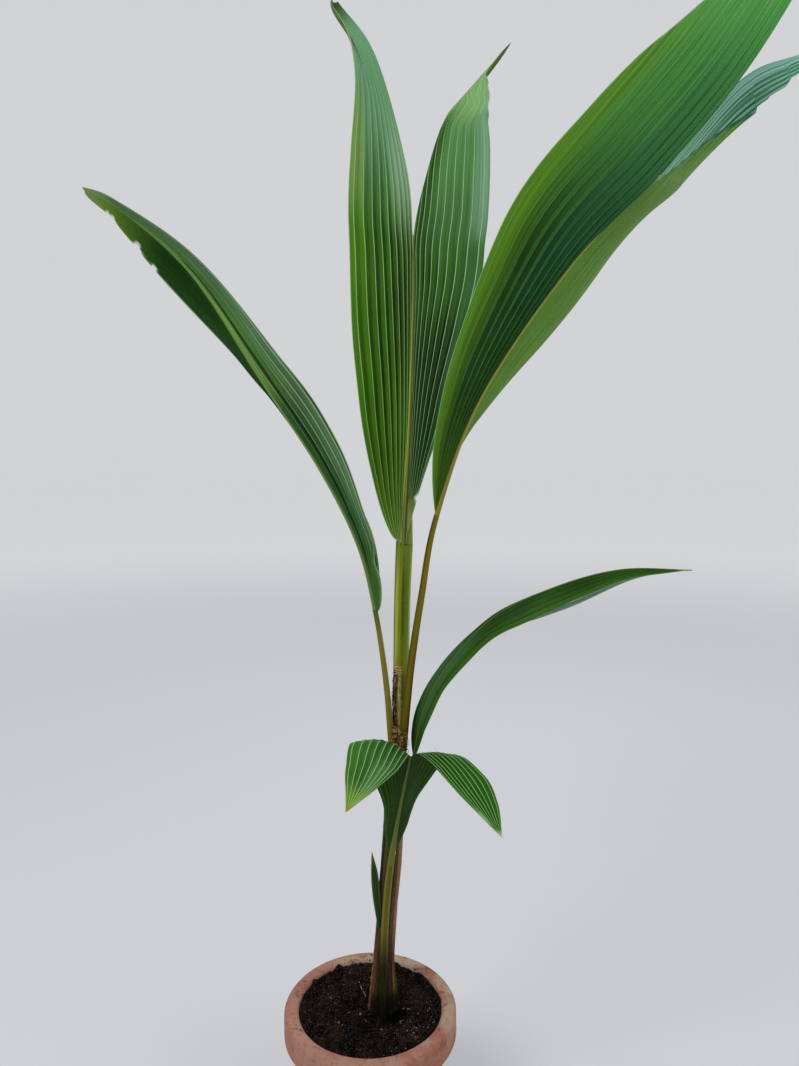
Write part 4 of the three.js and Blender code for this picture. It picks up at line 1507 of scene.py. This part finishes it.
def on_soil(rng, reach=MOUTH_RADIUS - 4):
    """A random place on the soil's top"""
    turn = rng.uniform(0, 2 * math.pi)
    radius = reach * math.sqrt(rng.random())
    return on_top(radius * math.cos(turn), radius * math.sin(turn), 0)


def random_turn(rng):
    axis = Vector((rng.uniform(-1, 1), rng.uniform(-1, 1), rng.uniform(-1, 1)))
    return Matrix.Rotation(rng.uniform(0, 2 * math.pi), 4, axis.normalized())


def add_lump(bm, place, turn, size):
    matrix = Matrix.Translation(place) @ turn @ Matrix.Diagonal((*size, 1))
    bmesh.ops.create_icosphere(bm, subdivisions=1, radius=1, matrix=matrix)


def make_crumbs(material, count=2600):
    rng = random.Random(7)
    bm = bmesh.new()
    for _ in range(count):
        size = rng.choice((1, 1.3, 1.8, 2.6, 3.6, 5.4)) * rng.uniform(0.6, 1.1) * MM
        shape = (size, size * rng.uniform(0.6, 1), size * rng.uniform(0.4, 0.8))
        add_lump(bm, on_soil(rng), random_turn(rng), shape)
    for vert in bm.verts:
        vert.co += vert.co.normalized() * 0.0005 * noise.noise(vert.co * 900)
    settle(piece_from(bm, "soil_crumbs"), "soil", (), material)


def make_flakes(material, count=150):
    """Pale grit, thickest to the front right where it also stands in for glints of light, and one bigger
    flake
    """
    rng = random.Random(13)
    bm = bmesh.new()
    places = [(on_soil(rng), rng.uniform(0.35, 1.0)) for _ in range(count)]
    for _ in range(count // 2):
        x, y = rng.gauss(GLINTS[0], 18), rng.gauss(GLINTS[1], 22)
        if math.hypot(x, y) < MOUTH_RADIUS - 4:
            places.append((on_top(x, y), rng.uniform(0.4, 1.3)))
    places.append((on_top(*FLAKE), 2.6))
    for place, size in places:
        shape = (size * MM, size * rng.uniform(0.5, 1) * MM, size * 0.5 * MM)
        add_lump(bm, place, random_turn(rng), shape)
    settle(piece_from(bm, "soil_grit"), "soil", (), material)


def add_strand(bm, points, radius, taper):
    """A thin open strand through points in metres"""
    made = bmesh.ops.create_grid(bm, x_segments=STRAND_SIDES, y_segments=STRAND_ROWS, size=0.5)["verts"]
    for vert in made:
        turn = 2 * math.pi * (round((vert.co.x + 0.5) * STRAND_SIDES) % STRAND_SIDES) / STRAND_SIDES
        u = vert.co.y + 0.5
        along = heading_at(points, u, 0.01)
        side = along.cross(Vector((0.3, 0.2, 1))).normalized()
        out = side * math.cos(turn) + along.cross(side) * math.sin(turn)
        vert.co = smoothly(points, u) + out * (radius * blend(1, taper, u))


def make_strands(name, slot, strands, material, taper=0.3):
    """A piece of many strands, each given as its points in metres and its radius in millimetres"""
    bm = bmesh.new()
    for points, radius in strands:
        add_strand(bm, points, radius * MM, taper)
    bmesh.ops.remove_doubles(bm, verts=bm.verts, dist=1e-7)
    close(bm)
    settle(piece_from(bm, name), slot, (), material)


def litter(count=22):
    """Pale straw and dry roots that lie on the soil"""
    rng = random.Random(11)
    for _ in range(count):
        start = on_soil(rng, MOUTH_RADIUS - 20)
        turn = rng.uniform(0, 2 * math.pi)
        length = rng.uniform(3, 9) * MM
        points = []
        for i in range(4):
            turn += rng.uniform(-0.5, 0.5)
            step = Vector((math.cos(turn), math.sin(turn), 0)) * length / 3 * i
            points.append(on_top(*((start + step).xy / MM)))
        yield points, rng.uniform(0.25, 0.5)
    yield [on_top(x, y) for x, y in ROOT], 0.8


# Stem


def stem_relief(turn, z):
    """The stem's relief in millimetres at an angle and a height, and how deep in a crease that is"""
    spot = Vector((math.cos(turn) * 3, math.sin(turn) * 3, z * 0.012))
    fine = Vector((math.cos(turn) * 24, math.sin(turn) * 24, z * 0.03))
    strands = 0.45 * noise.noise(fine) + 0.25 * noise.noise(fine * 2.3)
    swell = 0.9 * noise.noise(spot)
    rings = 0.5 * ramp_up(RINGS_TOP - z, 0, 60) * math.sin(z * 0.42 + 2 * noise.noise(spot * 2))
    crease = 0.0
    for edge, lean in SEAMS:
        seam = edge + lean * (z - SEAM_HEIGHT) + 0.12 * noise.noise(Vector((z * 0.01, edge, 0)))
        off = (turn - seam + math.pi) % (2 * math.pi) - math.pi
        crease = max(crease, bell(off, 0, CREASE_SPREAD))
        if 0 < off < LAP:
            strands += 0.8 * (ramp_up(off, 0, 0.05) - ramp_up(off, 0.05, LAP))
    return strands + swell + rings - 1.3 * crease, crease


def make_stem(material):
    path = Path(STEM_PATH)

    def row_at(share):
        station = path.at(share)
        radius = smoothly(STEM_RADII, share)
        z = station.point.z / MM

        def lay(column):
            turn = 2 * math.pi * (column % STEM_SIDES) / STEM_SIDES
            relief, crease = stem_relief(turn, z)
            flare = 1 + 0.1 * ramp_up(FLARE_TOP - z, 0, 45) * math.sin(3 * turn + 1)
            place = station.point + station.around(turn) * ((radius * flare + relief) * MM)
            return Spot(place, (column / STEM_SIDES, share), (crease, share, 0))

        return lay

    settle(woven("stem_sheaths", STEM_SIDES, STEM_ROWS, row_at, closed=True), "stem", ("stem",), material)


def make_pointed(name, path, radii, flat, fold, sides=20):
    """A small pointed sheath or leaf, folded along its middle"""

    def row_at(share):
        station = path.at(share)
        radius = smoothly(radii, share) * MM

        def lay(column):
            turn = 2 * math.pi * column / sides - math.pi / 2
            across = math.cos(turn)
            rise = flat * math.sin(turn) - fold * abs(across)
            place = station.point + station.side * (radius * across) + station.up * (radius * rise)
            return Spot(place, (column / sides, share), (0.2, share, abs(across)))

        return lay

    return woven(name, sides, 60, row_at, closed=True)


# Fibre of the old sheath


def make_strip(name, path, radii, rows):
    """A rough strip along a path"""

    def row_at(share):
        station = path.at(share)
        radius = smoothly(radii, share)
        z = station.point.z / MM

        def lay(column):
            turn = 2 * math.pi * (column % STRIP_SIDES) / STRIP_SIDES
            rough = noise.noise(Vector((math.cos(turn) * 2, math.sin(turn) * 2, z * 0.3)))
            place = station.point + station.around(turn) * ((radius + 1.3 * rough) * MM)
            return Spot(place, (column / STRIP_SIDES, share))

        return lay

    return woven(name, STRIP_SIDES, rows, row_at, closed=True)


def threads(path, count, reach, seed):
    """Loose threads that cling to the front of a strip"""
    rng = random.Random(seed)
    for _ in range(count):
        station = path.at(rng.uniform(0.02, 0.98))
        points = []
        turn = rng.uniform(0.3, math.pi - 0.3)
        heading = rng.choice((-1, 1)) * rng.uniform(0.2, 1)
        for i in range(4):
            out = station.around(turn + heading * i * 0.3)
            off = (reach + rng.uniform(0, 1.2)) * MM
            points.append(station.point + out * off + station.along * (i * rng.uniform(1.5, 4) * MM))
        yield points, rng.uniform(0.3, 0.6)


def wraps():
    """Flat bands of fibre round the top of the strip"""
    rng = random.Random(9)
    for z in WRAP_HEIGHTS:
        points = []
        for i in range(5):
            x = WRAP_START + i * rng.uniform(2.8, 4.4)
            y = -1.5 - 2 * math.sin(i / 4 * math.pi) + rng.uniform(-0.4, 0.4)
            points.append(Vector((x, y, z + rng.uniform(-1.3, 1.3) - 0.5 * i)) * MM)
        yield points, rng.uniform(0.7, 1.2)


def tuft(count, thickest, seed):
    """The frayed end of the sheath, wrapped round the stalks' feet"""
    rng = random.Random(seed)
    left, right = TUFT_SPAN
    for _ in range(count):
        x = rng.uniform(left, right)
        z = rng.uniform(*TUFT_HEIGHTS) - 0.5 * (x - left)
        y = -11 - 5 * math.sin(clamp((x - left) / (right - left)) * math.pi) + rng.uniform(-1, 1.5)
        heading = Vector((rng.uniform(-1, 1), rng.uniform(-0.5, 0.2), rng.uniform(-0.8, 0.9)))
        points = [Vector((x, y, z))]
        for _ in range(3):
            swerve = Vector((rng.uniform(-0.7, 0.7), rng.uniform(-0.4, 0.4), rng.uniform(-0.7, 0.7)))
            heading = (heading + swerve).normalized()
            points.append(points[-1] + heading * rng.uniform(1.5, 3.2))
        yield [p * MM for p in points], rng.uniform(0.4, thickest)


def make_fibre(brown, tan, yellow):
    path, edge_path = Path(FIBRE_PATH), Path(SHEATH_EDGE_PATH)
    strip = make_strip("sheath_strip", path, FIBRE_RADII, rows=150)
    settle(strip, "fibre", ("sheath_fibre",), brown)
    edge = make_strip("sheath_edge", edge_path, SHEATH_EDGE_RADII, rows=90)
    settle(edge, "fibre", (), yellow)
    make_strands("sheath_threads", "fibre", threads(path, count=110, reach=3.2, seed=3), brown)
    make_strands("sheath_tan_threads", "fibre", threads(path, count=40, reach=3.4, seed=4), tan)
    edge_threads = threads(edge_path, count=30, reach=4, seed=6)
    make_strands("sheath_edge_threads", "fibre", edge_threads, yellow)
    make_strands("sheath_wraps", "fibre", wraps(), tan, taper=0.5)
    make_strands("sheath_tuft", "fibre", tuft(count=110, thickest=0.8, seed=5), tan)
    make_strands("sheath_dark_tuft", "fibre", tuft(count=90, thickest=0.9, seed=8), brown)


make_pot(terracotta_material())
SOIL = soil_material()
make_soil(SOIL)
make_crumbs(SOIL)
STRAW = fibre_material("straw", (128, 108, 84), (190, 174, 150))
make_strands("soil_litter", "soil", litter(), STRAW)
make_flakes(STRAW)
make_stem(stem_material())
PALE = fibre_material("pale_sheath", (206, 196, 150), (236, 230, 204))
chip = [([Vector(p) * MM for p in CHIP_PATH], CHIP_RADIUS)]
make_strands("sheath_chip", "stem", chip, PALE, taper=0.6)
sheath = make_pointed("foot_sheath", Path(SCALE_PATH), SCALE_RADII, flat=0.5, fold=0.3)
settle(sheath, "stalk", ("foot_scale",), SCALE)
spike = make_pointed("spike", Path(SPIKE_PATH, SPIKE_FACING), SPIKE_RADII, flat=0.2, fold=0.4)
settle(spike, "leaf", ("spike_leaf",), SPIKE)
make_fibre(
    fibre_material("brown_fibre", (44, 20, 6), (112, 70, 36)),
    fibre_material("tan_fibre", (168, 116, 62), (246, 208, 150)),
    fibre_material("yellow_sheath", (152, 142, 58), (226, 214, 140)),
)

# Each leaf with the finishes of its stalk and rib, and of the upper and under faces of its two halves
FINISHES = [
    (CENTRE_LEAF, (CENTRE_STALK, CENTRE_RIB), (CENTRE_LEFT, CENTRE_UNDER), (CENTRE_RIGHT, CENTRE_UNDER)),
    (
        LEANING_LEAF, (LEANING_STALK, LEANING_RIB),
        (LEANING_UPPER, LEANING_LEFT_UNDER), (LEANING_UPPER, LEANING_RIGHT_UNDER),
    ),
    (LEFT_LEAF, (LEFT_STALK, LEFT_RIB), (LEAF_UPPER, LEFT_NEAR_UNDER), (LEAF_UPPER, LEFT_FAR_UNDER)),
    (ARCHING_LEAF, (OLIVE_RIB, OLIVE_RIB), (ARCHING_UPPER, ARCHING_UNDER), (ARCHING_UPPER, ARCHING_UNDER)),
    (
        FRONT_LEAF, (FRONT_STALK, OLIVE_RIB),
        (FRONT_LEFT_UPPER, FRONT_UNDER), (FRONT_RIGHT_UPPER, FRONT_UNDER),
    ),
]
for leaf, _, *faces in FINISHES:
    for half, (upper, under) in zip(leaf.halves, faces):
        make_half(leaf, half, upper, under)
for leaf, limbs, *_ in FINISHES:
    make_stalk(leaf, *limbs)


# Floor, light and camera


def make_floor():
    bm = bmesh.new()
    bmesh.ops.create_circle(bm, cap_ends=True, segments=96, radius=40)
    floor = piece_from(bm, "floor")
    material, web = new_material("pale_floor")
    far = web.put("VectorMath", {0: web.position()}, operation="LENGTH")["Value"]
    colour = web.mix(web.between(far, 0.8, 9.0), (210, 211, 214), (255, 255, 255))
    web.surface(colour, 0.9)
    floor.data.materials.append(material)
    floor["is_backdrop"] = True


def add_light(name, place, target, size, power, colour):
    lamp = bpy.data.lights.new(name, "AREA")
    lamp.shape = "DISK"
    lamp.size = size
    lamp.energy = power
    lamp.color = colour
    light = bpy.data.objects.new(name, lamp)
    light.location = place
    light.rotation_euler = (Vector(target) - Vector(place)).to_track_quat("-Z", "Y").to_euler()
    bpy.context.collection.objects.link(light)


def make_light():
    world = bpy.data.worlds.new("studio")
    world.use_nodes = True
    sky = world.node_tree.nodes["Background"]
    sky.inputs["Color"].default_value = (0.64, 0.65, 0.67, 1)
    sky.inputs["Strength"].default_value = 1.0
    bpy.context.scene.world = world
    bpy.context.scene.view_settings.view_transform = "Standard"
    add_light("key", (-1.7, -1.9, 3.4), target=(0.05, 0, 1.0), size=1.8, power=48, colour=(1, 0.99, 0.97))
    add_light("fill", (2.4, -1.6, 1.9), target=(0.05, 0, 0.9), size=2.2, power=14, colour=(0.96, 0.98, 1))
    add_light("back", (0.6, 2.4, 3.0), target=(0.05, 0, 1.2), size=2.0, power=20, colour=(0.98, 0.99, 1))


def make_camera():
    lens = bpy.data.cameras.new("camera")
    lens.lens = LENS
    lens.sensor_width = SENSOR
    camera = bpy.data.objects.new("camera", lens)
    camera.location = CAMERA_PLACE
    camera.rotation_euler = (math.radians(90 - CAMERA_TILT), 0, 0)
    bpy.context.collection.objects.link(camera)
    bpy.context.scene.camera = camera


make_floor()
make_light()
make_camera()

boxes = {"cad": cad_box, "visual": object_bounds()}
{name: [list(corner) for corner in box] for name, box in boxes.items()}
